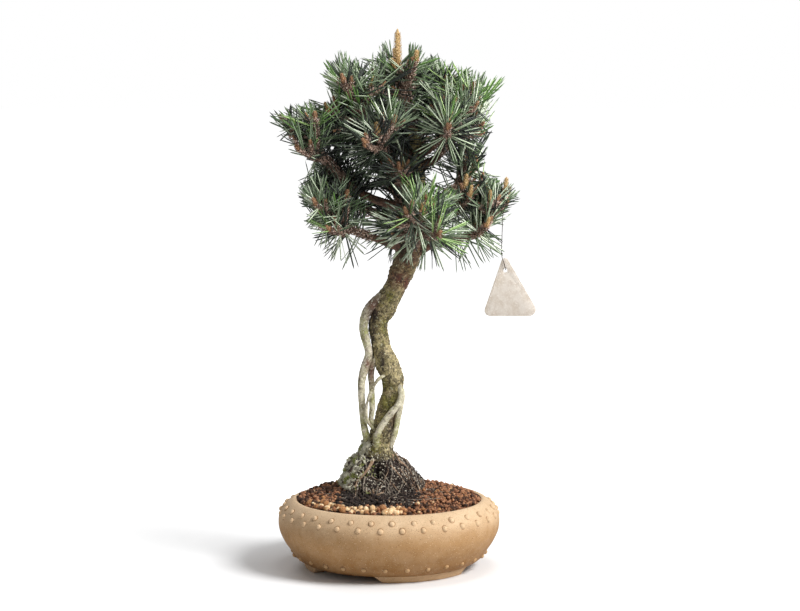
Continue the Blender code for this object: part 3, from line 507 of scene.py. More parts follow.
class Graph:
    """Adds nodes to one node tree and joins them."""

    def __init__(self, tree: Tree) -> None:
        """Keep the tree."""
        self.tree = tree
        self.place: Socket | None = None

    def add(self, kind: str, feeds: dict | None = None, **settings: object) -> bpy.types.Node:
        """Add a node.

        Args:
            kind, settings: Its type and settings.
            feeds: Values or outputs for its sockets.

        Returns:
            The node.
        """
        node = self.tree.nodes.new(kind)
        for key, value in settings.items():
            setattr(node, key, value)
        for key, value in (feeds or {}).items():
            self.feed(node.inputs[key], value)
        return node

    def feed(self, socket: Socket, value: object) -> None:
        """Join an output to a socket, or set its value.

        Args:
            socket, value: The socket, and the output or value; a colour is three screen values.
        """
        if isinstance(value, Socket):
            self.tree.links.new(value, socket)
        else:
            socket.default_value = linear(value) if socket.type == "RGBA" else value

    def position(self) -> Socket:
        """Return the object coordinates."""
        if self.place is None:
            self.place = self.add("ShaderNodeTexCoord").outputs["Object"]
        return self.place

    def stretched(self, x: float, y: float, z: float) -> Socket:
        """Return the object coordinates scaled along each axis."""
        feeds = {"Vector": self.position(), "Scale": (x, y, z)}
        return self.add("ShaderNodeMapping", feeds).outputs["Vector"]

    def attribute(self, name: str) -> Socket:
        """Return a number that the mesh holds."""
        return self.add("ShaderNodeAttribute", attribute_name=name).outputs["Fac"]

    def noise(self, scale: object, detail: float = 3, rough: float = 0.55, vector: Socket | None = None,
              output: str = "Fac") -> Socket:
        """Add soft noise.

        Args:
            scale: Its features in a metre.
            detail, rough: Its octaves, and how strong the finer ones are.
            vector, output: Where it is read, and which output is taken.

        Returns:
            The output.
        """
        feeds = {"Vector": vector or self.position(), "Scale": scale, "Detail": detail, "Roughness": rough}
        return self.add("ShaderNodeTexNoise", feeds).outputs[output]

    def cells(self, scale: object, vector: Socket, feature: str = "F1") -> bpy.types.Node:
        """Add a cell pattern with so many cells in a metre."""
        return self.add("ShaderNodeTexVoronoi", {"Vector": vector, "Scale": scale}, feature=feature)

    def span(self, value: Socket, low: object, high: object, first: float = 0, last: float = 1) -> Socket:
        """Spread a value over a range.

        Args:
            value, low, high: The value, and its limits.
            first, last: What the limits become.

        Returns:
            The output.
        """
        names = ("Value", "From Min", "From Max", "To Min", "To Max")
        feeds = dict(zip(names, (value, low, high, first, last)))
        return self.add("ShaderNodeMapRange", feeds, interpolation_type="SMOOTHSTEP").outputs["Result"]

    def math(self, operation: str, first: object, second: object = 0.5) -> Socket:
        """Work out one number from two."""
        return self.add("ShaderNodeMath", {0: first, 1: second}, operation=operation).outputs[0]

    def mix(self, share: object, first: object, second: object) -> Socket:
        """Mix a share of the second colour into the first."""
        return self.add("ShaderNodeMix", {0: share, 6: first, 7: second}, data_type="RGBA").outputs[2]

    def bump(self, height: Socket, depth: float, below: Socket | None = None) -> Socket:
        """Raise a surface.

        Args:
            height, depth: The height from 0 to 1, and how many millimetres 1 is.
            below: A normal that it is laid over.

        Returns:
            The normal.
        """
        feeds = {"Strength": 1, "Distance": depth * MM, "Height": height}
        if below is not None:
            feeds["Normal"] = below
        return self.add("ShaderNodeBump", feeds).outputs["Normal"]

    def group(self, tree: Tree, **values: object) -> bpy.types.NodeOutputs:
        """Place a shared group with its own values, and return its outputs."""
        feeds = {name.replace("_", " "): value for name, value in values.items()}
        return self.add("ShaderNodeGroup", feeds, node_tree=tree).outputs


class Skin(Graph):
    """The graph of one material, about its Principled shader."""

    def __init__(self, name: str) -> None:
        """Start the material.

        Args:
            name: Its name.
        """
        self.material = bpy.data.materials.new(name)
        self.material.use_nodes = True
        super().__init__(self.material.node_tree)
        self.shader = self.tree.nodes["Principled BSDF"].inputs

    def close(self, colour: Socket, normal: Socket, scale: float, low: float, high: float,
              gloss: float = 0.5) -> Material:
        """Join the colour, the normal and a drifting roughness to the shader.

        Args:
            colour, normal, gloss: The colour, the normal and the level of the shine.
            scale, low, high: How finely the roughness drifts, and its limits.

        Returns:
            The material.
        """
        self.shader["Specular IOR Level"].default_value = gloss
        self.feed(self.shader["Base Color"], colour)
        self.feed(self.shader["Roughness"], self.span(self.noise(scale), 0.3, 0.7, low, high))
        self.feed(self.shader["Normal"], normal)
        return self.material


class SharedEffects:
    """The node groups that several finishes use, each built once."""

    def __init__(self) -> None:
        """Build the groups."""
        self.mottle = self.build_mottle()
        self.speckle = self.build_speckle()
        self.flakes = self.build_flakes()

    def start(self, name: str, inputs: str, outputs: str) -> tuple:
        """Start a node group.

        Args:
            name: Its name.
            inputs, outputs: Their names; * marks a colour, the others are numbers.

        Returns:
            The tree, its graph, and the inner ends of its inputs and outputs.
        """
        tree = bpy.data.node_groups.new(name, "ShaderNodeTree")
        for way, labels in (("INPUT", inputs), ("OUTPUT", outputs)):
            for label in labels.split(", "):
                kind = "NodeSocketColor" if label.endswith("*") else "NodeSocketFloat"
                tree.interface.new_socket(name=label.rstrip("*"), in_out=way, socket_type=kind)
        graph = Graph(tree)
        return tree, graph, graph.add("NodeGroupInput").outputs, graph.add("NodeGroupOutput").inputs

    def build_mottle(self) -> Tree:
        """Build the group that lets three close colours run into each other."""
        tree, graph, given, out = self.start("mottle", "First*, Second*, Third*, Scale", "Color*")
        broad = graph.noise(given["Scale"], 4, 0.6)
        fine = graph.noise(graph.math("MULTIPLY", given["Scale"], 3.7), 3, 0.6)
        both = graph.mix(graph.span(broad, 0.38, 0.62), given["First"], given["Second"])
        graph.feed(out["Color"], graph.mix(graph.span(fine, 0.5, 0.72), both, given["Third"]))
        return tree

    def build_speckle(self) -> Tree:
        """Build the group that strews fine dark and pale specks over a colour and raises them."""
        tree, graph, given, out = self.start(
            "speckle", "Color*, Dark*, Pale*, Scale, Dark Share, Pale Share", "Color*, Height")
        colour = given["Color"]
        masks = []
        for kind, fineness in (("Dark", 1), ("Pale", 0.63)):
            grains = graph.noise(graph.math("MULTIPLY", given["Scale"], fineness), 2, 0.7)
            low = graph.math("SUBTRACT", 0.8, graph.math("MULTIPLY", given[kind + " Share"], 0.4))
            masks.append(graph.span(grains, low, graph.math("ADD", low, 0.05)))
            colour = graph.mix(masks[-1], colour, given[kind])
        graph.feed(out["Color"], colour)
        rise = graph.math("SUBTRACT", graph.math("ADD", masks[1], 1), masks[0])
        graph.feed(out["Height"], graph.math("MULTIPLY", rise, 0.5))
        return tree

    def build_flakes(self) -> Tree:
        """Build the group that gives each flake of bark a tone of its own, with gaps between them."""
        tree, graph, given, out = self.start("flakes", "Scale", "Tone, Gap")
        feeds = {0: graph.noise(160, 4, 0.5, output="Color"), 1: (0.015, 0.015, 0.015),
                 2: graph.stretched(1, 1, 1.25)}
        moved = graph.add("ShaderNodeVectorMath", feeds, operation="MULTIPLY_ADD").outputs["Vector"]
        parts = graph.add("ShaderNodeSeparateColor", {0: graph.cells(given["Scale"], moved).outputs["Color"]})
        graph.feed(out["Tone"], parts.outputs["Red"])
        edges = graph.cells(given["Scale"], moved, "DISTANCE_TO_EDGE").outputs["Distance"]
        level = graph.noise(1, 4, 0.6, graph.stretched(75, 75, 210))
        fold = graph.span(graph.math("ABSOLUTE", graph.math("SUBTRACT", level, 0.5)), 0.016, 0.002)
        graph.feed(out["Gap"], graph.math("MAXIMUM", graph.span(edges, 0.12, 0.02, 0, 0.7), fold))
        return tree


@dataclass(frozen=True)
class Stoneware:
    """Unglazed sand-coloured clay with fine grog in it, darker below: partly its iron tone, partly painted
    shade.
    """

    name: str = "sand_stoneware"
    low: Colour = (134, 95, 52)
    middle: Colour = (170, 132, 89)
    high: Colour = (208, 180, 146)
    iron: Colour = (104, 74, 44)
    grog: Colour = (224, 198, 162)

    def build(self, effects: SharedEffects) -> Material:
        """Build the material.

        Args:
            effects: The shared effects.

        Returns:
            The material.
        """
        skin = Skin(self.name)
        height = skin.add("ShaderNodeSeparateXYZ", {0: skin.position()}).outputs["Z"]
        wavy = skin.math("ADD", height, skin.math("MULTIPLY", skin.noise(38, 3, 0.6), 0.024))
        # Darker and browner towards the bottom: partly the clay's own iron tone, partly painted shade on the
        # belly.
        body = skin.mix(skin.span(wavy, 0.018, 0.052), self.low, self.middle)
        body = skin.mix(skin.span(wavy, 0.050, 0.080), body, self.high)
        mottled = skin.group(effects.mottle, First=self.low, Second=self.high, Third=self.middle, Scale=60)
        specks = skin.group(effects.speckle, Color=skin.mix(0.12, body, mottled["Color"]), Dark=self.iron,
                            Pale=self.grog, Scale=1300, Dark_Share=0.44, Pale_Share=0.34)
        turned = skin.bump(skin.noise(1, 4, 0.6, skin.stretched(60, 60, 420)), 0.22)
        return skin.close(specks["Color"], skin.bump(specks["Height"], 0.22, turned), 140, 0.62, 0.82, 0.22)


@dataclass(frozen=True)
class Earth:
    """Crumbs, fibres, scales or card: three close colours, specks and a rough surface."""

    name: str
    first: Colour
    second: Colour
    third: Colour
    scale: float = 160
    roughness: float = 0.85
    depth: float = 0.35

    def build(self, effects: SharedEffects) -> Material:
        """Build the material.

        Args:
            effects: The shared effects.

        Returns:
            The material.
        """
        skin = Skin(self.name)
        mottled = skin.group(effects.mottle, First=self.first, Second=self.second, Third=self.third,
                             Scale=self.scale)
        specks = skin.group(effects.speckle, Color=mottled["Color"], Dark=self.second, Pale=self.third,
                            Scale=1400, Dark_Share=0.5, Pale_Share=0.45)
        return skin.close(specks["Color"], skin.bump(skin.noise(1100, 4, 0.65), self.depth), 700,
                          self.roughness - 0.12, self.roughness + 0.06, 0.3)


@dataclass(frozen=True)
class Bark:
    """Scaly bark: brown plates with dark cracks, and where the mesh says so moss, rust, pale skin (partly
    painted highlight) and painted shade.
    """

    name: str
    plate: Colour = (150, 134, 96)
    ridge: Colour = (218, 201, 154)
    crack: Colour = (38, 28, 20)
    moss: Colour = (134, 134, 56)
    lichen: Colour = (218, 216, 180)
    rust: Colour = (104, 54, 38)
    pale: Colour = (226, 208, 178)
    scale: float = 115
    flake: float = 300
    shade: float = 0.55
    specks: float = 0.56

    def build(self, effects: SharedEffects) -> Material:
        """Build the material.

        Args:
            effects: The shared effects.

        Returns:
            The material.
        """
        skin = Skin(self.name)
        base = skin.group(effects.mottle, First=self.plate, Second=self.ridge, Third=self.moss,
                          Scale=self.scale)
        flakes = skin.group(effects.flakes, Scale=self.flake)
        tone = flakes["Tone"]
        colour = skin.mix(skin.span(tone, 0.3, 1, 0, 0.45), base["Color"], self.ridge)
        patches = skin.noise(105, 6, 0.72)
        # The dark zone lays the crack colour as painted shade; the pale zone is pale skin, on the trunk also
        # painted highlight.
        for kind, tint, low in (
                ("pale", self.pale, 0.42), ("moss", self.moss, 0.36), ("rust", self.rust, 0.22),
                ("dark", self.crack, 0.2)):
            share = skin.math("MULTIPLY", skin.attribute(kind), skin.span(patches, low, low + 0.16))
            colour = skin.mix(share, colour, tint)
        colour = skin.mix(skin.span(tone, 0.68, 0.95, 0, 0.34), colour, self.ridge)
        colour = skin.mix(skin.span(tone, 0.5, 0.1, 0, self.shade), colour, self.crack)
        specks = skin.group(effects.speckle, Color=colour, Dark=self.crack, Pale=self.lichen, Scale=620,
                            Dark_Share=self.specks, Pale_Share=0.4)
        groove = skin.math("MAXIMUM", skin.math("MULTIPLY", skin.attribute("crack"), 0.85),
                           skin.math("MULTIPLY", flakes["Gap"], self.shade))
        grain = skin.bump(skin.noise(900, 5, 0.7), 0.45, skin.bump(tone, 0.7))
        colour = skin.mix(groove, specks["Color"], self.crack)
        return skin.close(colour, skin.bump(specks["Height"], 0.25, grain), 105, 0.68, 0.92)


class Tint(Enum):
    """The colours of the needles, dealt out by spray: the round back and the frosted flat face."""

    FRESH = ((80, 114, 50), (156, 184, 116), 0.34)
    MATURE = ((74, 93, 62), (176, 188, 160), 0.38)
    # Near-black needles for the crown's inside: painted shade, partly darker old needles.
    DEEP = ((15, 22, 16), (62, 74, 56), 0.52)
    FROSTED = ((112, 128, 100), (216, 224, 202), 0.42)


@dataclass(frozen=True)
class NeedleSkin:
    """A waxy needle of one colour, with a faint drift of tone and fine stripes of pores."""

    name: str
    colour: Colour
    roughness: float

    def build(self, effects: SharedEffects) -> Material:
        """Build the material.

        Args:
            effects: The shared effects.

        Returns:
            The material.
        """
        skin = Skin(self.name)
        paler = tuple(min(255, round(value * 1.1)) for value in self.colour)
        darker = tuple(round(value * 0.9) for value in self.colour)
        tone = skin.group(effects.mottle, First=self.colour, Second=paler, Third=darker, Scale=70)
        return skin.close(tone["Color"], skin.bump(skin.noise(1500, 2), 0.05), 300, self.roughness - 0.06,
                          self.roughness + 0.08)


# Shapes that are repeated, and the bench where pieces are made.


@dataclass
class Template:
    """A small shape that is repeated many times, as arrays of its vertices and triangles."""

    verts: Array
    faces: Array
    slots: Array

    @classmethod
    def of(cls, bm: BMesh, top_slot: int = 0) -> "Template":
        """Read a bmesh and free it.

        Args:
            bm, top_slot: The shape, and the slot of the faces that look along +Y.

        Returns:
            The template.
        """
        bmesh.ops.triangulate(bm, faces=bm.faces[:])
        bmesh.ops.recalc_face_normals(bm, faces=bm.faces[:])
        bm.verts.index_update()
        bm.normal_update()
        verts = np.array([vert.co[:] for vert in bm.verts])
        faces = np.array([[vert.index for vert in face.verts] for face in bm.faces])
        tops = [face.normal.y > 0.5 and face.normal.x > -0.1 for face in bm.faces]
        bm.free()
        return cls(verts, faces, np.where(tops, top_slot, 0))

    @classmethod
    def rod(cls, sides: int, stations: Profile, flat: float = 1, top_slot: int = 0) -> "Template":
        """Make a rod along +Z; a width of 0 ends it in a point.

        Args:
            sides, stations: Its sides, and its heights with their half widths.
            flat, top_slot: Its thickness over its width, and the slot of its flat upper side.

        Returns:
            The template.
        """
        bm = bmesh.new()
        height, width = stations[0]
        bmesh.ops.create_circle(bm, cap_ends=True, segments=sides, radius=width)
        turn = Matrix.Rotation(pi / 6 if sides == 3 else 0, 3, "Z")
        bmesh.ops.rotate(bm, verts=bm.verts[:], matrix=turn)
        bmesh.ops.translate(bm, verts=bm.verts[:], vec=(0, 0, height))
        top = bm.faces[:]
        for before, (height, width) in zip(stations, stations[1:]):
            grown = bmesh.ops.extrude_face_region(bm, geom=top)["geom"]
            verts = [item for item in grown if isinstance(item, bmesh.types.BMVert)]
            top = [item for item in grown if isinstance(item, bmesh.types.BMFace)]
            bmesh.ops.translate(bm, verts=verts, vec=(0, 0, height - before[0]))
            share = max(width, 1e-4) / before[1]
            bmesh.ops.scale(bm, verts=verts, vec=(share, share, 1))
        bmesh.ops.remove_doubles(bm, verts=bm.verts[:], dist=1e-3)
        bmesh.ops.scale(bm, verts=bm.verts[:], vec=(1, flat, 1))
        return cls.of(bm, top_slot)

    @classmethod
    def tube(cls, sides: int, count: int) -> "Template":
        """Make a rod of even width with so many stations from height 0 to 1."""
        return cls.rod(sides, [(k / (count - 1), 1) for k in range(count)])

    @classmethod
    def pebble(cls, roughness: float, seed: int, tiny: bool = False) -> "Template":
        """Make an irregular crumb with a radius of about 1.

        Args:
            roughness, seed: How irregular it is, and its seed.
            tiny: Whether it has the fewest faces.

        Returns:
            The template.
        """
        bm = bmesh.new()
        if tiny:
            bmesh.ops.create_icosphere(bm, subdivisions=1, radius=1)
        else:
            bmesh.ops.create_cube(bm, size=1.5)
            bmesh.ops.subdivide_edges(bm, edges=bm.edges[:], cuts=1, use_grid_fill=True)
        for vert in bm.verts:
            place = vert.co.normalized()
            where = place + Vector((seed * 7.3, seed * 3.1, 0))
            vert.co = vert.co.lerp(place, 0.7)
            vert.co *= 1 + roughness * (noise.noise(where * 1.1) + 0.6 * noise.noise(where * 2.7))
        return cls.of(bm)

    @classmethod
    def turned(cls, profile: Profile, steps: int) -> "Template":
        """Turn an open profile from the axis outwards.

        Args:
            profile, steps: Its (radius, height) points, and the turn's steps.

        Returns:
            The template.
        """
        bm = bmesh.new()
        spin_profile(bm, profile, steps)
        return cls.of(bm)


def spin_profile(bm: BMesh, profile: Profile, steps: int) -> None:
    """Turn a profile about the upright axis.

    Args:
        bm: The bmesh that it joins.
        profile, steps: Its (radius, height) points, and the turn's steps.
    """
    verts = [bm.verts.new((radius, 0, height)) for radius, height in profile]
    edges = [bm.edges.new(pair) for pair in zip(verts, verts[1:])]
    bmesh.ops.spin(bm, geom=verts + edges, cent=(0, 0, 0), axis=(0, 0, 1), angle=2 * pi,
                   steps=steps, use_merge=True)
    bmesh.ops.remove_doubles(bm, verts=bm.verts[:], dist=1e-3)


def soften(bm: BMesh, edges: list[bmesh.types.BMEdge], width: float, segments: int) -> None:
    """Round edges off."""
    bmesh.ops.bevel(bm, geom=edges, offset=width, offset_type="OFFSET", segments=segments, profile=0.5,
                    affect="EDGES", material=-1)


def unit(rows: Array) -> Array:
    """Return rows of length one."""
    return rows / np.maximum(np.linalg.norm(rows, axis=-1, keepdims=True), 1e-9)


def square_to(rows: Array, axes: Array) -> Array:
    """Return rows turned square to their axes, of length one."""
    return unit(rows - axes * np.sum(rows * axes, axis=-1, keepdims=True))


def across(rows: Array, rng: Rng) -> Array:
    """Return a direction square to each row, turned at random about it."""
    return unit(np.cross(rows, unit(rng.normal(size=rows.shape))))


def table(vectors: Sequence[Vector]) -> Array:
    """Return vectors as an array of rows."""
    return np.array([vector[:] for vector in vectors])


def spoke(axis: Vector, turn: float) -> Vector:
    """Return the direction square to an axis at a turn about it."""
    normal = axis.orthogonal()
    return normal * cos(turn) + axis.cross(normal) * sin(turn)


@dataclass
class Copies:
    """Many copies of templates, gathered for one piece."""

    verts: list[Array] = field(default_factory=list)
    faces: list[Array] = field(default_factory=list)
    slots: list[Array] = field(default_factory=list)
    count: int = 0

    def add(self, template: Template, placed: Array) -> None:
        """Gather copies of a template.

        Args:
            template, placed: The shape, and rows of (copy, vertex, xyz).
        """
        copies, size, _ = placed.shape
        if not copies:
            return
        shifts = self.count + np.arange(copies)[:, None, None] * size
        self.verts.append(placed.reshape(-1, 3))
        self.faces.append((template.faces[None] + shifts).reshape(-1, 3))
        self.slots.append(np.tile(template.slots, copies))
        self.count += copies * size

    def stand(self, template: Template, roots: Array, forward: Array, bend: Array, length: object,
              width: object, curve: object = 0) -> None:
        """Gather copies that stand at roots.

        Args:
            template: The shape, along +Z, its upper side to +Y.
            roots, forward, bend: Where they stand, point and curve, the last two square.
            length, width: Their lengths and half widths.
            curve: How far their tips bend, as a share of the length.
        """
        copies = len(roots)
        length, width, curve = (np.broadcast_to(np.asarray(item, dtype=float), (copies,)) for item in
                                (length, width, curve))
        side = np.cross(forward, bend)
        x, y, t = template.verts.T
        along = forward[:, None] * (t * length[:, None])[..., None]
        aside = bend[:, None] * ((curve * length)[:, None] * t * t + y * width[:, None])[..., None]
        self.add(template, roots[:, None] + along + aside - side[:, None] * (x * width[:, None])[..., None])

    def shingle(self, template: Template, rows: Sequence[tuple[Vector, Vector, Vector]], length: object,
                width: object, curve: float) -> None:
        """Gather copies that stand at (root, forward, bend) rows.

        Args:
            template, rows: The shape and the rows.
            length, width, curve: Their lengths, half widths and bends.
        """
        roots, forward, bend = (table(column) for column in zip(*rows))
        self.stand(template, roots, forward, square_to(bend, forward), length, width, curve)

    def tumble(self, template: Template, centres: Array, sizes: Array, rng: Rng) -> None:
        """Gather copies turned at random.

        Args:
            template, rng: The shape and seeded numbers.
            centres, sizes: Where they lie, and their three half sizes.
        """
        first = unit(rng.normal(size=centres.shape))
        second = across(first, rng)
        third = np.cross(first, second)
        turned = sum(axis[:, None] * (template.verts[:, k] * sizes[:, k, None])[..., None]
                     for k, axis in enumerate((first, second, third)))
        self.add(template, centres[:, None] + turned)

    def follow(self, template: Template, paths: Array, radii: Array) -> None:
        """Gather copies of a rod that follow paths.

        Args:
            template: A rod from height 0 to 1.
            paths, radii: Rows of (path, point, xyz), and of (path, point).
        """
        tangents = unit(np.gradient(paths, axis=1))
        guide = np.where(np.abs(tangents[:, :, 2:]) < 0.8, (0, 0, 1), (1, 0, 0))
        start = unit(np.cross(tangents[:, 0], guide[:, 0]))
        normals = np.zeros_like(paths)
        for k in range(paths.shape[1]):
            start = square_to(start, tangents[:, k])
            normals[:, k] = start
        binormals = np.cross(tangents, normals)
        x, y, t = template.verts.T
        place = t * (paths.shape[1] - 1)
        low = np.clip(place.astype(int), 0, paths.shape[1] - 2)
        share = (place - low)[None, :, None]

        def read(rows: Array) -> Array:
            """Return rows of the paths at the template's heights."""
            return rows[:, low] * (1 - share) + rows[:, low + 1] * share

        swell = read(radii[..., None])
        offset = unit(read(normals)) * x[None, :, None] + unit(read(binormals)) * y[None, :, None]
        self.add(template, read(paths) + offset * swell)


@dataclass
class Bench:
    """Where the pieces are made, about the pot's axis, and their materials, each built once."""

    axis: Vector
    effects: SharedEffects
    built: dict[object, Material] = field(default_factory=dict)
    made: int = 0

    def material(self, finish: object) -> Material:
        """Return a finish's material."""
        if finish not in self.built:
            self.built[finish] = finish.build(self.effects)
        return self.built[finish]


@dataclass
class Part:
    """A part that is made in millimetres, with its slot in the record and the solids that it replaces."""

    bench: Bench
    slot = ""
    replaced = ()

    def hand_over(self, mesh: bpy.types.Mesh, finishes: Sequence[object]) -> None:
        """Give a mesh its object, its finishes and its place in the model.

        Args:
            mesh, finishes: The mesh in metres, and its finishes.
        """
        piece = bpy.data.objects.new(mesh.name, mesh)
        bpy.context.scene.collection.objects.link(piece)
        for finish in finishes:
            mesh.materials.append(self.bench.material(finish))
        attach(piece, "root")
        if self.replaced:
            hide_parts(*self.replaced)
        self.bench.made += 1
        LOG.info("%s: %d faces", piece.name, len(mesh.polygons))

    def shape(self, name: str, bm: BMesh, sharp: float, finish: object) -> None:
        """Make a piece from a bmesh.

        Args:
            name, bm, finish: Its name, shape and finish.
            sharp: Edges sharper than this angle stay sharp.
        """
        bmesh.ops.scale(bm, verts=bm.verts[:], vec=(MM, MM, MM))
        bmesh.ops.translate(bm, verts=bm.verts[:], vec=self.bench.axis)
        bmesh.ops.recalc_face_normals(bm, faces=bm.faces[:])
        mesh = bpy.data.meshes.new(name)
        bm.to_mesh(mesh)
        bm.free()
        mesh.shade_smooth()
        mesh.set_sharp_from_angle(angle=radians(sharp))
        self.hand_over(mesh, [finish])

    def joined(self, name: str, copies: Copies, *finishes: object) -> None:
        """Make a piece from gathered copies.

        Args:
            name, copies, finishes: Its name, the copies and their finishes.
        """
        mesh = bpy.data.meshes.new(name)
        verts = np.vstack(copies.verts) * MM + np.array(self.bench.axis)
        mesh.from_pydata(verts, [], np.vstack(copies.faces), shade_flat=False)
        mesh.polygons.foreach_set("material_index", np.concatenate(copies.slots))
        mesh.validate()
        self.hand_over(mesh, finishes)


# Limbs.


@dataclass
class Ring:
    """One ring of a limb: its centre, its two square directions and its radius."""

    centre: Vector
    normal: Vector
    binormal: Vector
    radius: float


def limb_rings(points: Line, radii: Sequence[float], first: Vector | None = None,
               last: Vector | None = None) -> list[Ring]:
    """Lay rings square to a path without twist.

    Args:
        points, radii: The path and its radii.
        first, last: The directions at its ends, if set.

    Returns:
        The rings.
    """
    tangents = [(points[min(i + 1, len(points) - 1)] - points[max(i - 1, 0)]).normalized()
                for i in range(len(points))]
    tangents[0] = first or tangents[0]
    tangents[-1] = last or tangents[-1]
    rings = []
    normal = tangents[0].orthogonal()
    for point, radius, tangent in zip(points, radii, tangents):
        normal = (normal - tangent * normal.dot(tangent)).normalized()
        rings.append(Ring(point, normal.copy(), tangent.cross(normal), radius))
    return rings


@dataclass(frozen=True)
class BarkRelief:
    """The relief of bark: plates at different heights with cracks between them, and broad lumps."""

    plate: float
    stretch: float
    crack: float
    lift: float
    lumps: float
    grain: float
    seed: float = 0

    def at(self, point: Vector) -> tuple[float, float]:
        """Read the relief at a place.

        Args:
            point: The place on the plain limb.

        Returns:
            The surface's height, and the depth in a crack from 0 to 1.
        """
        where = point + Vector((self.seed, 0, 0))
        drift = noise.noise_vector(where * 0.2) * self.plate * 0.9 + noise.noise_vector(where * 0.7) * 0.8
        spot = Vector((where.x + drift.x, where.y + drift.y, (where.z + drift.z) / self.stretch)) / self.plate
        distances, places = noise.voronoi(spot)
        broken = smoothstep(-0.25, 0.35, noise.noise(where * 0.17 + Vector((0, 40, 0))))
        crack = (1 - smoothstep(0, 0.24, distances[1] - distances[0])) * broken
        height = self.lift * noise.noise(places[0] * 2.9)
        broad = self.lumps * noise.noise(where * 0.075)
        fine = noise.noise(where * 0.55) + 0.7 * noise.noise(where * 1.3) + 0.5 * noise.noise(where * 2.7)
        return broad + self.grain * fine + height * (1 - crack) - self.crack * crack, crack


Spots = Sequence[tuple[float, float, float, float]]
# dark is the zone of painted shade; the trunk's pale spots are partly painted highlight.
ZONES = ("moss", "rust", "pale", "dark")


@dataclass(frozen=True)
class BarkZones:
    """The plain share of each zone in a bark, and its soft spots of (x, z, half width, half height)."""

    plain: tuple[float, float, float, float]
    moss: Spots = ()
    rust: Spots = ()
    pale: Spots = ()
    dark: Spots = ()

    def at(self, point: Vector) -> dict[str, float]:
        """Read the zones at a place.

        Args:
            point: The place.

        Returns:
            The share of each zone.
        """
        shares = dict(zip(ZONES, self.plain))
        for kind in ZONES:
            for x, z, wide, high in getattr(self, kind):
                near = ((point.x - x) / wide) ** 2 + ((point.z - z) / high) ** 2
                if near < 4:
                    shares[kind] = max(shares[kind], exp(-near * 1.1))
        return shares


def add_limb(bm: BMesh, rings: list[Ring], sides: int, relief: BarkRelief,
             zones: BarkZones, swell: float = 0) -> None:
    """Roll a sheet into a limb with the bark's relief, its zones kept on the vertices.

    Args:
        bm: The bmesh that it joins.
        rings, sides: Its rings and how many sides they have.
        relief, zones: Its bark.
        swell: How far the section swells, as a share of the radius.
    """
    layers = {name: bm.verts.layers.float.get(name) or bm.verts.layers.float.new(name)
              for name in ("crack", *ZONES)}
    sheet = bmesh.ops.create_grid(bm, x_segments=sides, y_segments=len(rings) - 1, size=0.5)["verts"]
    spokes = [(cos(2 * pi * k / sides), sin(2 * pi * k / sides)) for k in range(sides)]
    for vert in sheet:
        column = round((vert.co.x + 0.5) * sides) % sides
        ring = rings[round((vert.co.y + 0.5) * (len(rings) - 1))]
        spoke = ring.normal * spokes[column][0] + ring.binormal * spokes[column][1]
        plain = ring.centre + spoke * ring.radius
        if swell:
            plain = ring.centre + spoke * ring.radius * (1 + swell * noise.noise(plain * 0.06))
        offset, crack = relief.at(plain)
        vert.co = plain + spoke * offset
        vert[layers["crack"]] = crack
        for name, value in zones.at(plain).items():
            vert[layers[name]] = value
    bmesh.ops.remove_doubles(bm, verts=sheet, dist=1e-4)
    bmesh.ops.holes_fill(bm, edges=[edge for edge in bm.edges if edge.is_boundary], sides=0)


@dataclass
class Trunk(Part):
    """The trunk: it rises in three bends from the root mound to the leader."""

    slot = "bark"
    replaced = ("trunk",)
    step: float = 1.15
    sides: int = 108
    swell: float = 0.12
    relief: BarkRelief = BarkRelief(3.6, 1.2, 0.65, 1.05, 0.7, 0.5, 3)
    zones: BarkZones = BarkZones(
        (0.42, 0.16, 0.16, 0),
        moss=(
            (0, 164, 14, 28), (1, 270, 8, 12), (-4, 148, 10, 14), (-3, 240, 9, 16), (-14, 118, 9, 8),
            (-6, 184, 5, 14)),
        rust=(
            (9, 290, 14, 14), (17, 284, 6, 18), (-15, 257, 6, 9), (18, 308, 16, 14), (22, 330, 20, 30),
            (7, 140, 7, 22), (12, 226, 5, 12)),
        # pale: paler bark on the trunk's right side, partly painted highlight where the lamps light it.
        pale=((10, 203, 6, 16), (3, 214, 5, 9), (5, 264, 5, 8), (7, 190, 8, 7)),
        # dark: painted shade under the crown, in the crease by the outer left root, in the hollows among the
        # roots and at the trunk's foot.
        dark=(
            (13, 322, 8, 20), (28, 340, 8, 22), (-19.5, 244, 3, 18), (2, 136, 6, 12), (20, 324, 9, 8),
            (-14, 252, 4, 9), (-2, 109, 22, 5), (8, 118, 6, 9), (-15.5, 232, 3, 14), (-6, 205, 3, 10)),
    )

    def build(self) -> None:
        """Build the trunk's bark."""
        points, radii = limb_path(TRUNK_ROWS, self.step)
        bm = bmesh.new()
        rings = limb_rings(points, radii, UP, foot_direction(MASSES[0]))
        add_limb(bm, rings, self.sides, self.relief, self.zones, self.swell)
        self.shape("trunk_bark", bm, 75, Bark("trunk_skin"))


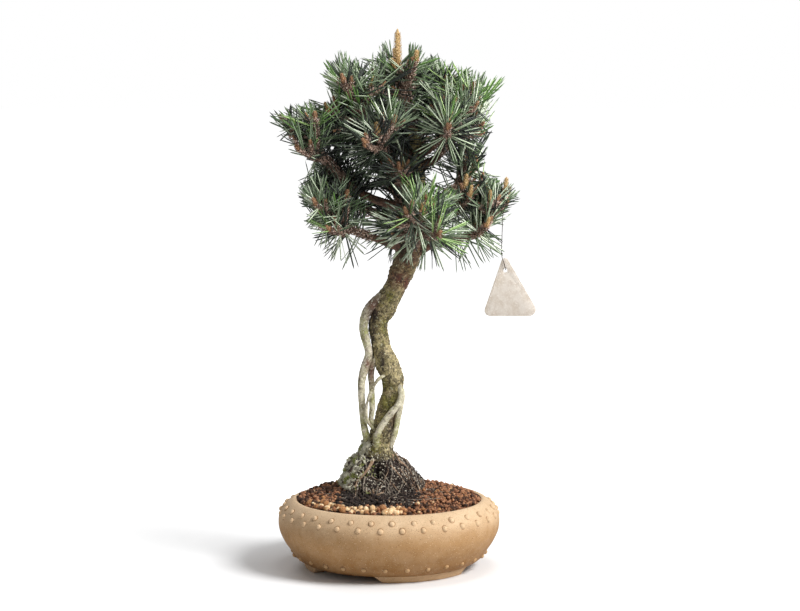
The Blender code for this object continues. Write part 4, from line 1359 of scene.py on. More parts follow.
ROOTS = {
    "root_left_outer": (
        (-7, -1, 271, 4.6), (-20, -4.5, 258, 4.8), (-25.2, -5, 242, 4.4), (-22.8, -5, 227, 4.2),
        (-20, -6, 213, 4), (-24.2, -7, 199, 4.1), (-27.2, -8, 184, 3.6), (-26.8, -8, 167, 3.4),
        (-25.6, -6.5, 148, 3.4), (-22.4, -4.5, 130, 3.8), (-17, -3, 116, 4),
    ),
    "root_left_inner": (
        (-8, -2, 216, 3), (-14.5, -4.6, 206.5, 3.1), (-17.5, -4.2, 194, 3.1),
        (-17, -4, 178, 3), (-16.6, -4, 160, 2.9), (-17.4, -4, 146, 2.8), (-10, -2, 132, 2.8),
    ),
    "root_arching": (
        (0, -6, 193, 1.7), (-8, -14, 191, 1.7), (-14, -14, 184, 1.6), (-20, -14, 171, 1.6),
        (-22.5, -12.5, 158, 1.6), (-20.5, -11, 146, 1.7), (-10, -6, 133, 1.7),
    ),
    "root_front": (
        (5, -4, 188, 3.2), (12.5, -10.5, 176, 3.2), (10, -13.5, 166, 3.1), (3.5, -15.5, 157.5, 3.1),
        (-3, -16, 149, 3.1), (-9, -16, 140, 3.2), (-12.5, -15.5, 129, 3.2), (-11, -8, 117, 3.2),
    ),
    "root_right": (
        (7, 0, 181, 3), (12.8, -1.5, 172, 3), (12, -3, 163, 3), (9.6, -4, 152, 3),
        (7.6, -5, 141, 3), (5, -6, 131, 3), (0, -4, 119, 3),
    ),
}


@dataclass
class ExposedRoots(Part):
    """The five bare roots that stand beside the trunk above the mound."""

    slot = "root_bark"
    replaced = tuple(ROOTS)
    step: float = 1.2
    sides: int = 34
    relief: BarkRelief = BarkRelief(3.4, 0.8, 0.16, 0.22, 0.45, 0.16, 11)
    zones: BarkZones = BarkZones(
        (0.34, 0.06, 0.36, 0),
        moss=(
            (-24, 140, 8, 18), (-16, 170, 4, 14), (8, 140, 6, 14), (-24, 235, 6, 20), (-20, 122, 8, 9),
            (-25, 236, 4, 14), (-22, 134, 12, 24), (-10, 128, 8, 14)),
        rust=((-17, 196, 4, 12), (-14, 262, 10, 10), (-21, 204, 3, 6)),
        pale=((-17, 150, 5, 12), (0, 150, 14, 14), (10, 172, 6, 10), (-27, 180, 5, 18)),
        # dark: painted shade in the crease where the outer left root leaves the trunk.
        dark=((-8, 264, 7, 8), (-18, 250, 3, 12)),
    )

    def build(self) -> None:
        """Build the roots as one piece."""
        bm = bmesh.new()
        for rows in ROOTS.values():
            part = bmesh.new()
            sides = self.sides if rows[0][3] > 2 else 18
            add_limb(part, limb_rings(*limb_path(rows, self.step)), sides, self.relief, self.zones)
            merge_into(bm, part)
        bark = Bark("root_skin", (206, 194, 174), (240, 232, 214), (78, 60, 48), (176, 178, 112),
                    (240, 236, 216), (112, 70, 54), (244, 236, 216), 110, 420, 0.3, 0.34)
        self.shape("exposed_roots", bm, 80, bark)


def merge_into(bm: BMesh, part: BMesh) -> None:
    """Add a part to a bmesh by way of a mesh, so that its layers come along.

    Args:
        bm, part: The bmesh, and the part, which is freed.
    """
    scratch = bpy.data.meshes.new("part")
    part.to_mesh(scratch)
    part.free()
    bm.from_mesh(scratch)
    bpy.data.meshes.remove(scratch)


@dataclass
class Boughs(Part):
    """The sixteen boughs that carry the masses of foliage."""

    slot = "bough_bark"
    replaced = tuple("bough_" + mass.name for mass in MASSES if mass.bough_z)
    step: float = 1.6
    sides: int = 26
    relief: BarkRelief = BarkRelief(3.4, 1.6, 0.5, 0.4, 0.3, 0.15, 23)
    zones: BarkZones = BarkZones((0.25, 0.45, 0.15, 0))

    def build(self) -> None:
        """Build the boughs as one piece."""
        bm = bmesh.new()
        for mass in MASSES:
            if mass.bough_z:
                rings = limb_rings(*bough_path(mass, self.step), None, foot_direction(mass))
                part = bmesh.new()
                add_limb(part, rings, self.sides, self.relief, self.zones)
                merge_into(bm, part)
        bark = Bark("bough_skin", (76, 56, 44), (108, 84, 66), (30, 22, 18), (72, 68, 46), (140, 124, 102),
                    (112, 62, 42), (164, 138, 108), 170, 360, 0.5)
        self.shape("bough_bark", bm, 80, bark)


# The crown.


@dataclass
class Crown(Part):
    """The crown: scaly shoots, needles in pairs dealt out by spray, and candles with resin on them."""

    slot = "needles"
    replaced = tuple("foliage_" + mass.name for mass in MASSES)
    shoots: list[Shoot] = field(default_factory=lambda: Growth().grow())
    pitch: float = 1.18
    half_width: float = 0.87
    left_limit: float = -119.8
    lean_base: float = 82
    sheath: float = 4.6
    spray: int = 7
    parting: float = 0.8
    gaps: tuple[tuple[float, float, float, float], ...] = SKY_GAPS + NEEDLE_GAPS

    def fascicles(self) -> tuple[Array, ...]:
        """Set the pairs of needles on every shoot.

        Returns:
            Their columns: root, along, forward, length and tint.
        """
        rows = []
        tints = list(Tint)
        for number, shoot in enumerate(self.shoots):
            rng = random.Random(9000 + number)
            bare = shoot.bare * 0.6
            count = max(10, round(shoot.length() * (1 - bare) / self.pitch))
            tint = Tint.MATURE
            for index in range(count):
                rank = (index + 0.5) / count
                root, along = point_on(shoot.points, bare + (1 - bare) * rank)
                if index % self.spray == 0:
                    tint = self.deal(rng, shoot, rank, self.depth_inside(root))
                lean = radians(self.lean_base + (shoot.lean - self.lean_base) * rank ** 1.15
                                    + rng.uniform(-13, 13))
                turn = shoot.phase + index * GOLDEN_ANGLE + rng.uniform(-0.3, 0.3)
                forward = along * cos(lean) + spoke(along, turn) * sin(lean)
                forward += UP * (0.16 * rank - 0.1 * (1 - rank))
                length = shoot.needle * (1 + 0.16 * shoot.fresh * rank) * rng.uniform(0.84, 1.04)
                rows.append((root, along, forward.normalized(), length, tints.index(tint)))
        return tuple(np.array(column) for column in zip(*rows))

    def depth_inside(self, root: Vector) -> float:
        """Tell how deep inside the crown a place is, from 0 to 1."""
        reach = Vector(((root.x - 8) / 100, root.y / (70 if root.y < 0 else 90), (root.z - 400) / 100))
        return smoothstep(0.92, 0.34, reach.length)

    def deal(self, rng: random.Random, shoot: Shoot, rank: float, inside: float) -> Tint:
        """Choose the tint of one spray.

        Args:
            rng, shoot: The shoot and its seeded numbers.
            rank, inside: How far along the shoot and inside the crown the spray is.

        Returns:
            The tint.
        """
        draw = rng.random()
        if rank > 0.55 and draw < shoot.fresh * (1 - 0.8 * inside):
            return Tint.FRESH
        draw = rng.random()
        # Sprays deep inside the crown and near the shoots' bases take the near-black tint: painted shade.
        if draw < 0.1 + 0.52 * inside + 0.26 * (1 - rank):
            return Tint.DEEP
        return Tint.FROSTED if draw > 0.76 else Tint.MATURE

    def build_needles(self) -> None:
        """Build the needles, one piece for each tint, and their sheaths."""
        root, along, forward, length, tint = self.fascicles()
        rng = np.random.default_rng(77)
        scale = np.zeros(len(root))
        for share in (0.74, 0.87, 1):
            tips = root + forward * (length * share)[:, None]
            middles = root + forward * (length * share * 0.7)[:, None]
            inside = in_crown(tips, self.gaps) & in_crown(middles, self.gaps) & (tips[:, 0] > self.left_limit)
            scale = np.where(inside, share, scale)
        facing = np.clip((-forward[:, 1] - 0.3) / 0.5, 0, 1) * self.parting
        keep = (scale > 0) & ((rng.random(len(root)) > facing) | (root[:, 1] > 10))
        columns = (root, along, forward, length * scale, tint)
        root, along, forward, length, tint = (item[keep] for item in columns)
        bend = square_to(along, forward)
        side = np.cross(forward, bend)
        twist = rng.uniform(0, np.pi, len(root))
        apart = side * np.cos(twist)[:, None] + bend * np.sin(twist)[:, None]
        needle = Template.rod(4, ((0, 0.72), (0.3, 0.98), (0.88, 0.84), (1, 0)), 0.66, 1)
        groups = {index: Copies() for index in range(len(Tint))}
        for sign in (-1, 1):
            split = np.tan(np.radians(rng.uniform(2, 5.5, len(root))))
            heading = unit(forward + apart * (sign * split)[:, None])
            upper = square_to(bend, heading)
            upper = unit(upper + np.cross(heading, upper) * rng.uniform(-0.6, 0.6, len(root))[:, None])
            start = root + apart * (sign * 0.3)
            size = length * rng.uniform(0.95, 1, len(root))
            curve = rng.uniform(-0.03, 0.11, len(root))
            for index, group in groups.items():
                pick = tint == index
                group.stand(needle, start[pick], heading[pick], upper[pick], size[pick],
                            self.half_width * rng.uniform(0.88, 1.1, pick.sum()), curve[pick])
        for index, kind in enumerate(Tint):
            back, stripe, roughness = kind.value
            name = "needles_" + kind.name.lower()
            self.joined(name, groups[index], NeedleSkin(name + "_back", back, roughness),
                        NeedleSkin(name + "_stripe", stripe, roughness + 0.05))
        sheaths = Copies()
        sheaths.stand(Template.rod(5, ((0, 1), (0.7, 0.86), (1, 0.6))), root, forward, bend,
                      self.sheath * rng.uniform(0.8, 1.15, len(root)), self.half_width * 1.35)
        husk = Earth("needle_sheath", (150, 124, 106), (92, 72, 60), (214, 198, 180), 200, 0.8, 0.1)
        self.joined("needle_sheaths", sheaths, husk)

    def build_shoots(self) -> None:
        """Build the shoots and the papery scales that cover them."""
        rng = np.random.default_rng(31)
        stations = 9
        rods = {sides: Template.tube(sides, stations) for sides in (7, 12)}
        wood = Copies()
        scales = Copies()
        flake = Template.rod(4, ((0, 0.8), (0.45, 1), (1, 0)), 0.34)
        for shoot in self.shoots:
            spots = [point_on(shoot.points, k / (stations - 1)) for k in range(stations)]
            path = table([spot for spot, _ in spots])[None]
            radii = np.interp(np.linspace(0, 1, stations), np.linspace(0, 1, len(shoot.radii)), shoot.radii)
            radii = radii * rng.uniform(0.9, 1.08, stations)
            wood.follow(rods[7 if shoot.rank == 2 else 12], path, radii[None])
            self.add_scales(scales, flake, shoot, rng)
        brown = Bark("shoot_bark", (126, 100, 84), (160, 132, 112), (46, 36, 30), (106, 94, 74),
                     (206, 188, 168), (122, 82, 66), (192, 170, 150), 260, 700, 0.4)
        papery = Earth("papery_scales", (178, 146, 128), (104, 76, 64), (242, 230, 216), 200, 0.75, 0.12)
        self.joined("shoot_wood", wood, brown)
        self.joined("shoot_scales", scales, papery)

    def add_scales(self, scales: Copies, flake: Template, shoot: Shoot, rng: Rng) -> None:
        """Lay papery scales round a shoot.

        Args:
            scales, flake: The copies that they join, and their shape.
            shoot, rng: The shoot and seeded numbers.
        """
        count = round(shoot.length() * (3.2, 2.4, 1.6)[shoot.rank])
        rows = []
        for index in range(count):
            share = (index + 0.5) / count
            spot, along = point_on(shoot.points, share)
            radius = float(np.interp(share, np.linspace(0, 1, len(shoot.radii)), shoot.radii))
            radial = spoke(along, index * GOLDEN_ANGLE + float(rng.uniform(-0.3, 0.3)))
            heading = (along + radial * float(rng.uniform(0.12, 0.5))).normalized()
            rows.append((spot + radial * radius * 0.93, heading, radial))
        size = rng.uniform(0.8, 1.25, count)
        scales.shingle(flake, rows, 3.7 * size, 1.15 * size, 0.12)

    def build_candles(self) -> None:
        """Build the candles and buds: a core, overlapping scales, and drops of resin."""
        rng = np.random.default_rng(5)
        core = Template.rod(7, ((-0.12, 0.8), (0.45, 1.05), (0.88, 0.86), (1, 0.2)))
        scale = Template.rod(4, ((0, 0.9), (0.5, 0.8), (1, 0)), 0.4)
        drop = Template.pebble(0.2, 4, True)
        skins = {
            "candle": Earth("candle_skin", (192, 160, 106), (160, 122, 74), (228, 208, 164), 420, 0.6, 0.1),
            "bud": Earth("bud_skin", (166, 122, 88), (126, 88, 66), (214, 182, 142), 420, 0.6, 0.1),
        }
        cores, scales = ({kind: Copies() for kind in skins} for _ in range(2))
        resin = Copies()
        for number, shoot in enumerate(self.shoots):
            for base, axis, length, radius in self.bud_cluster(shoot, random.Random(4000 + number)):
                kind = "candle" if length > 11 else "bud"
                normal = axis.orthogonal().normalized()
                start, forward, bend = (table([item]) for item in (base, axis, normal))
                cores[kind].stand(core, start, forward, bend, length, radius * 0.9)
                self.add_bud_scales(scales[kind], scale, (base, axis, length, radius), rng)
                count = round(length * radius * (0.9 if kind == "candle" else 0.35))
                turn = rng.uniform(0, 2 * np.pi, count)
                height = rng.uniform(0.1, 0.95, count)
                width = radius * np.sqrt(np.clip(1 - (height - 0.35) ** 2 * 1.9, 0.05, 1)) * 1.04
                aside = np.array(axis.cross(normal))
                spots = (start + forward * (height * length)[:, None] + (bend * np.cos(turn)[:, None]
                         + aside * np.sin(turn)[:, None]) * width[:, None])
                resin.tumble(drop, spots, rng.uniform(0.12, 0.28, (count, 3)), rng)
        white = Earth("resin_drops", (240, 230, 206), (222, 206, 174), (250, 244, 228), 420, 0.4, 0.03)
        for kind, skin in skins.items():
            self.joined(kind + "_cores", cores[kind], skin)
            self.joined(kind + "_scales", scales[kind], skin)
        self.joined("resin_drops", resin, white)

    def bud_cluster(self, shoot: Shoot, rng: random.Random) -> list[tuple[Vector, Vector, float, float]]:
        """Set the buds at a shoot's tip.

        Args:
            shoot, rng: The shoot and its seeded numbers.

        Returns:
            Each bud's base, direction, length and radius.
        """
        axis = bud_direction(shoot)
        tip = shoot.points[-1]
        radius = shoot.radii[-1]
        buds = [(tip, axis, shoot.bud, radius * (0.92 if shoot.bud > 11 else 1))]
        if shoot.rank == 2:
            return buds
        for index in range(rng.choice((1, 2, 3)) if shoot.rank == 0 else rng.choice((0, 1, 2))):
            radial = spoke(axis, index * GOLDEN_ANGLE + rng.uniform(0, 1))
            length = max(4, min(12, shoot.bud * rng.uniform(0.3, 0.48)))
            heading = (axis + radial * 0.36).normalized()
            buds.append((tip + radial * radius * 0.7, heading, length, radius * 0.62))
        return buds

    def add_bud_scales(self, copies: Copies, scale: Template, bud: tuple, rng: Rng) -> None:
        """Cover a bud with overlapping scales in a golden-angle spiral.

        Args:
            copies, scale: The copies that they join, and their shape.
            bud, rng: The bud's base, direction, length and radius, and seeded numbers.
        """
        base, axis, length, radius = bud
        count = round(10 + length * 3.4)
        rows = []
        for index in range(count):
            height = (index + 0.5) / count * 0.93 - 0.05
            radial = spoke(axis, index * GOLDEN_ANGLE)
            width = radius * sqrt(max(0.06, 1 - (height - 0.35) ** 2 * 1.9)) * 0.9
            slope = (height - 0.35) * 2.2 * radius / length
            heading = (axis - radial * (slope - 0.16)).normalized()
            rows.append((base + axis * height * length + radial * width, heading, radial))
        size = rng.uniform(0.85, 1.15, count) * (0.55 + 0.12 * radius)
        copies.shingle(scale, rows, 2.3 * size, 0.72 * size, 0.05)

    def build(self) -> None:
        """Build the whole crown."""
        self.build_shoots()
        self.build_needles()
        self.build_candles()


# The pot.

POT_UNDERSIDE_Z = 6.5
POT_OUTSIDE = (
    (86, 6.5), (91, 9.3), (96, 14), (99.7, 20), (103.7, 25.8), (106.7, 31.5), (109.2, 37.5), (110.3, 45),
    (109.7, 52.5), (107.5, 57.5), (103.8, 62), (99, 66), (95.5, 67.9), (93.6, 68.2),
)
POT_INSIDE = (
    (92.2, 67.6), (91.6, 65.5), (97.6, 55), (100.6, 45), (99.6, 37), (95, 26), (88, 18), (78, 14.5),
)


@dataclass
class DrumPot(Part):
    """The round drum pot: a bulging bowl with a lip, and three rings of nail heads."""

    slot = "stoneware"
    replaced = ("pot",)
    steps: int = 200
    waver: float = 0.1
    nail_radius: float = 2.75
    nail_rows: tuple[tuple[float, int, float, float], ...] = (
        (61.7, 32, 2, 1), (55.5, 32, -4.2, 1), (14.8, 29, -1.8, 0.86))

    def outside_at(self, height: float) -> tuple[float, float]:
        """Read the wall at a height.

        Args:
            height: The height.

        Returns:
            The outer radius and the slope's angle.
        """
        for (r0, z0), (r1, z1) in zip(POT_OUTSIDE, POT_OUTSIDE[1:]):
            if z0 <= height <= z1:
                share = (height - z0) / (z1 - z0)
                return r0 + (r1 - r0) * share, atan2(r0 - r1, z1 - z0)
        raise ValueError("no pot wall at that height")

    def build_bowl(self) -> None:
        """Turn the bowl, with the slight waver of a hand-thrown wall."""
        outer, inner = (smooth_rows([(*point, 0) for point in points], step)
                        for points, step in ((POT_OUTSIDE, 2), (POT_INSIDE, 3.5)))
        wall = [(float(row[0]), float(row[1])) for row in outer + inner]
        bm = bmesh.new()
        spin_profile(bm, [(0, POT_UNDERSIDE_Z), (50, POT_UNDERSIDE_Z), *wall, (0, 14.5)], self.steps)
        for vert in bm.verts:
            radial = Vector((vert.co.x, vert.co.y, 0))
            if radial.length > 60:
                vert.co += radial.normalized() * self.waver * noise.noise(vert.co * 0.035)
        self.shape("pot_bowl", bm, 50, Stoneware())

    def build_nails(self) -> None:
        """Press on the rings of nail heads, each a little its own, with a top paler from wear and painted
        highlight, in a ring of painted shade.
        """
        head = Template.turned(((0, 1), (0.36, 0.94), (0.68, 0.75), (0.9, 0.44), (0.99, 0.1), (1.02, -0.2),
                                (1.08, -0.5)), 18)
        # A thin dark ring round each nail's foot: painted shade.
        shade_ring = Template.turned(((0.95, -0.3), (0.98, 0.16), (1.16, 0.13), (1.34, -0.3)), 18)
        rng = np.random.default_rng(12)
        heads = Copies()
        shade_rings = Copies()
        for height, count, first, size in self.nail_rows:
            radius, slope = self.outside_at(height)
            turn = np.radians(first + 360 * np.arange(count) / count - 90 + rng.uniform(-0.35, 0.35, count))
            flat = np.stack((np.cos(turn), np.sin(turn), np.zeros(count)), axis=1)
            up = np.array((0, 0, 1))
            out = flat * cos(slope) + up * sin(slope)
            roots = flat * radius + up * (height + rng.uniform(-0.3, 0.3, count))[:, None]
            rise = unit(np.cross(np.cross(out, up), out))
            wide = self.nail_radius * size * rng.uniform(0.93, 1.05, count)
            heads.stand(head, roots, out, rise, 2.1 * size * rng.uniform(0.92, 1.06, count), wide)
            shade_rings.stand(shade_ring, roots, out, rise, 1, wide)
        # The heads take a paler copy of the clay: partly rubbed wear, partly painted highlight.
        rubbed_and_lit = Stoneware("rubbed_and_highlit_stoneware", (170, 134, 92), (192, 158, 117), (213, 184, 149))
        painted_shade_clay = Stoneware("painted_shade_stoneware", (104, 72, 40), (132, 98, 62), (160, 126, 90))
        self.joined("pot_nail_heads", heads, rubbed_and_lit)
        self.joined("pot_nail_shade_rings", shade_rings, painted_shade_clay)

    def build(self) -> None:
        """Build the pot."""
        self.build_bowl()
        self.build_nails()


FOOT_TURNS = {"pot_foot_right": 27, "pot_foot_left": -93, "pot_foot_back": 147}


@dataclass
class PotFeet(Part):
    """The three feet: arcs with slanted ends and rounded edges."""

    slot = "stoneware"
    replaced = tuple(FOOT_TURNS)
    bottom: float = 31
    top: float = 37
    outer: float = 84
    depth: float = 12

    def build(self) -> None:
        """Build the feet as one piece."""
        bm = bmesh.new()
        inner = self.outer - self.depth
        top = POT_UNDERSIDE_Z
        section = ((inner, 0), (self.outer, 0), (self.outer + 1.5, top), (inner - 2, top))
        for centre in FOOT_TURNS.values():
            part = bmesh.new()
            face = part.faces.new([part.verts.new((radius, 0, height)) for radius, height in section])
            bmesh.ops.spin(part, geom=[face, *face.verts, *face.edges], cent=(0, 0, 0),
                           axis=(0, 0, 1), angle=1, steps=30, use_duplicate=False)
            for vert in part.verts:
                radius = hypot(vert.co.x, vert.co.y)
                share = atan2(vert.co.y, vert.co.x) * 2 - 1
                half = self.bottom + (self.top - self.bottom) * vert.co.z / top
                turn = radians(centre + share * half - 90)
                vert.co = (radius * cos(turn), radius * sin(turn), vert.co.z)
            bmesh.ops.recalc_face_normals(part, faces=part.faces[:])
            sharp = [edge for edge in part.edges if edge.is_manifold and edge.calc_face_angle() > 0.6
                     and min(vert.co.z for vert in edge.verts) < 1]
            soften(part, sharp, 1.3, 3)
            merge_into(bm, part)
        # The feet take a lighter copy of the clay: painted light on their fronts, which face the lamps.
        self.shape("pot_feet", bm, 45, Stoneware("lit_foot_stoneware", (192, 158, 120), (204, 170, 130)))


# The earth.


def soil_top(radius: Array) -> Array:
    """Return the height of the earth at each radius."""
    return np.interp(radius, (0, 54, 74, 92), (76.2, 76.2, 71.7, 65))


@dataclass
class SoilBed(Part):
    """The earth in the pot: red-brown crumbs, larger tan ones at the front left, and dark ones."""

    slot = "soil"
    edge: float = 90.2
    inner: float = 34
    crumbs: int = 3100
    crumb: float = 2.1
    tan_crumbs: int = 42

    def places(self, radius: Array, turn: Array, lift: object) -> Array:
        """Return places on the earth, lifted above it."""
        return np.stack((radius * np.cos(turn), radius * np.sin(turn), soil_top(radius) + lift), axis=1)

    def build(self) -> None:
        """Dress the solid earth and strew the crumbs."""
        rng = np.random.default_rng(8)
        bed = Earth("earth_bed", (92, 58, 38), (60, 38, 28), (120, 78, 50))
        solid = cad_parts["soil"]
        solid.data.materials.clear()
        solid.data.materials.append(self.bench.material(bed))
        kinds = {
            "red": Earth("crumbs_red", (160, 110, 78), (108, 68, 48), (208, 158, 118)),
            "dark": Earth("crumbs_dark", (82, 56, 42), (50, 35, 28), (112, 80, 60)),
            "peat": Earth("crumbs_peat", (44, 34, 30), (26, 20, 19), (80, 64, 54)),
            "tan": Earth("crumbs_tan", (234, 202, 156), (200, 154, 104), (250, 234, 202), 160, 0.8),
            "amber": Earth("crumbs_amber", (170, 118, 74), (134, 88, 54), (200, 154, 108), 160, 0.8),
        }
        gathered = {kind: Copies() for kind in kinds}
        pebbles = [Template.pebble(0.42, seed) for seed in range(6)]
        index = np.arange(self.crumbs)
        radius = np.sqrt(self.inner ** 2 + (self.edge ** 2 - self.inner ** 2) * (index + 0.5) / self.crumbs)
        radius = np.minimum(self.edge, radius + rng.uniform(-1.6, 1.6, self.crumbs))
        turn = index * GOLDEN_ANGLE + rng.uniform(-0.02, 0.02, self.crumbs)
        size = self.crumb * rng.uniform(0.62, 1.22, self.crumbs) * np.where(np.cos(turn) < -0.1, 1.12, 0.86)
        place = self.places(radius, turn, rng.uniform(-0.7, 1.3, self.crumbs) * size)
        draw = rng.random(self.crumbs)
        dark_share = np.where(place[:, 0] < -15, 0.5, 0.3)
        kind = np.where(draw > 0.97, "amber", np.where(draw < dark_share, "dark", "red"))
        spread = ((place[:, 0] + 12) / 42) ** 2 + ((place[:, 1] + 46) / 32) ** 2
        kind = np.where(spread + rng.uniform(-0.3, 0.3, len(draw)) < 1, "peat", kind)
        for name in ("red", "dark", "amber", "peat"):
            self.strew(gathered[name], pebbles, place[kind == name], size[kind == name], rng)
        rank = np.arange(self.tan_crumbs)
        turn = np.radians(-154 + 76 * (rank + rng.uniform(-0.45, 0.45, self.tan_crumbs)) / self.tan_crumbs)
        radius = self.edge - 2.6 - 5.2 * (rank % 2) - rng.uniform(-0.6, 3, self.tan_crumbs)
        place = self.places(radius, turn, 2.2)
        size = rng.uniform(2.3, 4.6, self.tan_crumbs)
        pale = rng.random(self.tan_crumbs) < 0.78
        for name, pick in (("tan", pale), ("amber", ~pale)):
            self.strew(gathered[name], pebbles, place[pick], size[pick], rng)
        spare = rng.uniform(0, 2 * np.pi, 12)
        radius = rng.uniform(60, self.edge - 2, 12)
        place = self.places(radius, spare, 2)
        self.strew(gathered["tan"], pebbles, place, rng.uniform(1.6, 2.4, 12), rng)
        for name, copies in gathered.items():
            self.joined("soil_crumbs_" + name, copies, kinds[name])

    def strew(self, copies: Copies, pebbles: list[Template], place: Array, size: Array,
              rng: Rng) -> None:
        """Strew crumbs of several shapes.

        Args:
            copies, pebbles: The copies that they join, and their shapes.
            place, size: Where they lie, and their half sizes.
            rng: Seeded numbers.
        """
        for number, pebble in enumerate(pebbles):
            pick = np.arange(len(place)) % len(pebbles) == number
            half = size[pick, None] * rng.uniform(0.72, 1.15, (pick.sum(), 3))
            copies.tumble(pebble, place[pick], half, rng)


MOUND_PROFILE = ((43.5, 0), (42.5, 0.16), (38.5, 0.4), (33, 0.66), (28, 0.86), (23, 1))

STOUT_ROOTS = {
    "tan": (
        (-104, 1.05, 0.42, 2.2, -0.32), (-62, 0.9, 0.3, 0.8, 0.3), (-28, 1, 0.5, 1.1, 0.2),
        (150, 1, 0.1, 1.3, -0.3), (75, 1, 0.05, 1.5, 0.3), (20, 0.9, 0.1, 1, 0.4),
        (-124, 0.5, -0.85, 1.2, 0.2), (-97, 0.25, -0.7, 0.9, 0.2), (-44, 0.8, -0.1, 0.6, 0.5)),
    "grey": (
        (-80, 0.75, 0.15, 0.7, 0.25), (-112, 0.6, -0.2, 1.1, 0.1), (-138, 0.5, -0.5, 1.3, 0.16),
        (-130, 0.45, -0.75, 1.1, 0.05), (-118, 0.3, -0.9, 1, -0.1), (-106, 0.3, -0.95, 1.2, 0.1),
        (-90, 0.35, -0.8, 0.8, -0.2), (-76, 0.3, -0.6, 0.7, 0.2), (-150, 0.6, -0.2, 1.2, -0.1),
        (-56, 1, 0.2, 0.9, -0.4), (-18, 1.02, 0.2, 0.9, -0.3), (5, 0.9, -0.1, 0.8, -0.4)),
}


@dataclass
class RootMound(Part):
    """The body of the mound under the trunk, of dark peat, with a hollow at the front."""

    slot = "root_fibre"
    replaced = ("root_mound",)
    base_z: float = 76.3
    top_z: float = 108
    sides: int = 220
    rows: int = 90
    hollow: Point = (-12, 99, 7.8)
    hollow_depth: float = 15

    def plain(self, turn: float, share: float) -> Vector:
        """Find a place on the plain mound.

        Args:
            turn: The angle about its axis.
            share: How far up; above 1 it climbs the trunk, below 0 it runs over the earth.

        Returns:
            The place.
        """
        low = min(1, max(0, share))
        height = self.base_z + (self.top_z - self.base_z) * max(0, share)
        radius = float(np.interp(low, [row[1] for row in MOUND_PROFILE], [row[0] for row in MOUND_PROFILE]))
        reach = radius * (1 + (1 - 0.8 * low) * (0.05 * sin(3 * turn + 0.6) + 0.04 * sin(5 * turn)))
        if share > 1:
            reach = float(np.interp(height, (108, 110, 116, 128, 142), (23, 19.5, 16.6, 13.7, 11.7)))
        reach *= 1 - 0.14 * max(0, -cos(turn)) * (1 - 0.6 * low)
        if share < 0:
            reach += 34 * -share
        x = -10.5 - 0.5 * low + reach * cos(turn)
        spot = Vector((x, -4 + 4 * low + reach * sin(turn), height))
        if share < 0:
            spot.z = float(soil_top(np.array(hypot(spot.x, spot.y)))) + 1.2
        return spot

    def surface(self, turn: float, share: float, lift: float = 0) -> Vector:
        """Find a place on the lumpy mound.

        Args:
            turn, share: The angle about its axis, and how far up.
            lift: How far it is above the surface.

        Returns:
            The place.
        """
        spot = self.plain(turn, share)
        out = Vector((cos(turn), sin(turn), 0.45)).normalized()
        rough = 2.1 * noise.noise(spot * 0.07) + 1.1 * noise.noise(spot * 0.19)
        rough += 0.5 * noise.noise(spot * 0.5)
        rough += 2.4 * max(0, -cos(turn) - 0.1) * abs(noise.noise(spot * 0.13)) * 1.6
        if share < 0:
            rough *= 0.3
        return spot + out * (rough + lift - self.hollow_depth * self.in_hollow(spot))

    def in_hollow(self, spot: Vector) -> float:
        """Tell how far a place is into the hollow at the front.

        Args:
            spot: The place.

        Returns:
            The share, from 0 to 1.
        """
        if spot.y > -12:
            return 0
        near = ((spot.x - self.hollow[0]) ** 2 + (spot.z - self.hollow[1]) ** 2) / self.hollow[2] ** 2
        return exp(-near * 1.3)

    def build(self) -> None:
        """Build the peat."""
        bm = bmesh.new()
        sheet = bmesh.ops.create_grid(bm, x_segments=self.sides, y_segments=self.rows, size=0.5)["verts"]
        for vert in sheet:
            turn = 2 * pi * (round((vert.co.x + 0.5) * self.sides) % self.sides) / self.sides
            share = 1.12 * (vert.co.y + 0.5)
            spot = self.surface(turn, share)
            spot.z = max(spot.z, self.base_z - 1)
            crumb = 0.8 * noise.noise(spot * 0.7) + 0.5 * noise.noise(spot * 1.7)
            vert.co = spot + Vector((cos(turn), sin(turn), 0.3)) * crumb
        bmesh.ops.remove_doubles(bm, verts=bm.verts[:], dist=1e-4)
        bmesh.ops.holes_fill(bm, edges=[edge for edge in bm.edges if edge.is_boundary], sides=0)
        peat = Earth("dark_peat", (32, 25, 23), (17, 14, 13), (70, 56, 48), 220, 0.92, 0.7)
        self.shape("mound_peat", bm, 80, peat)


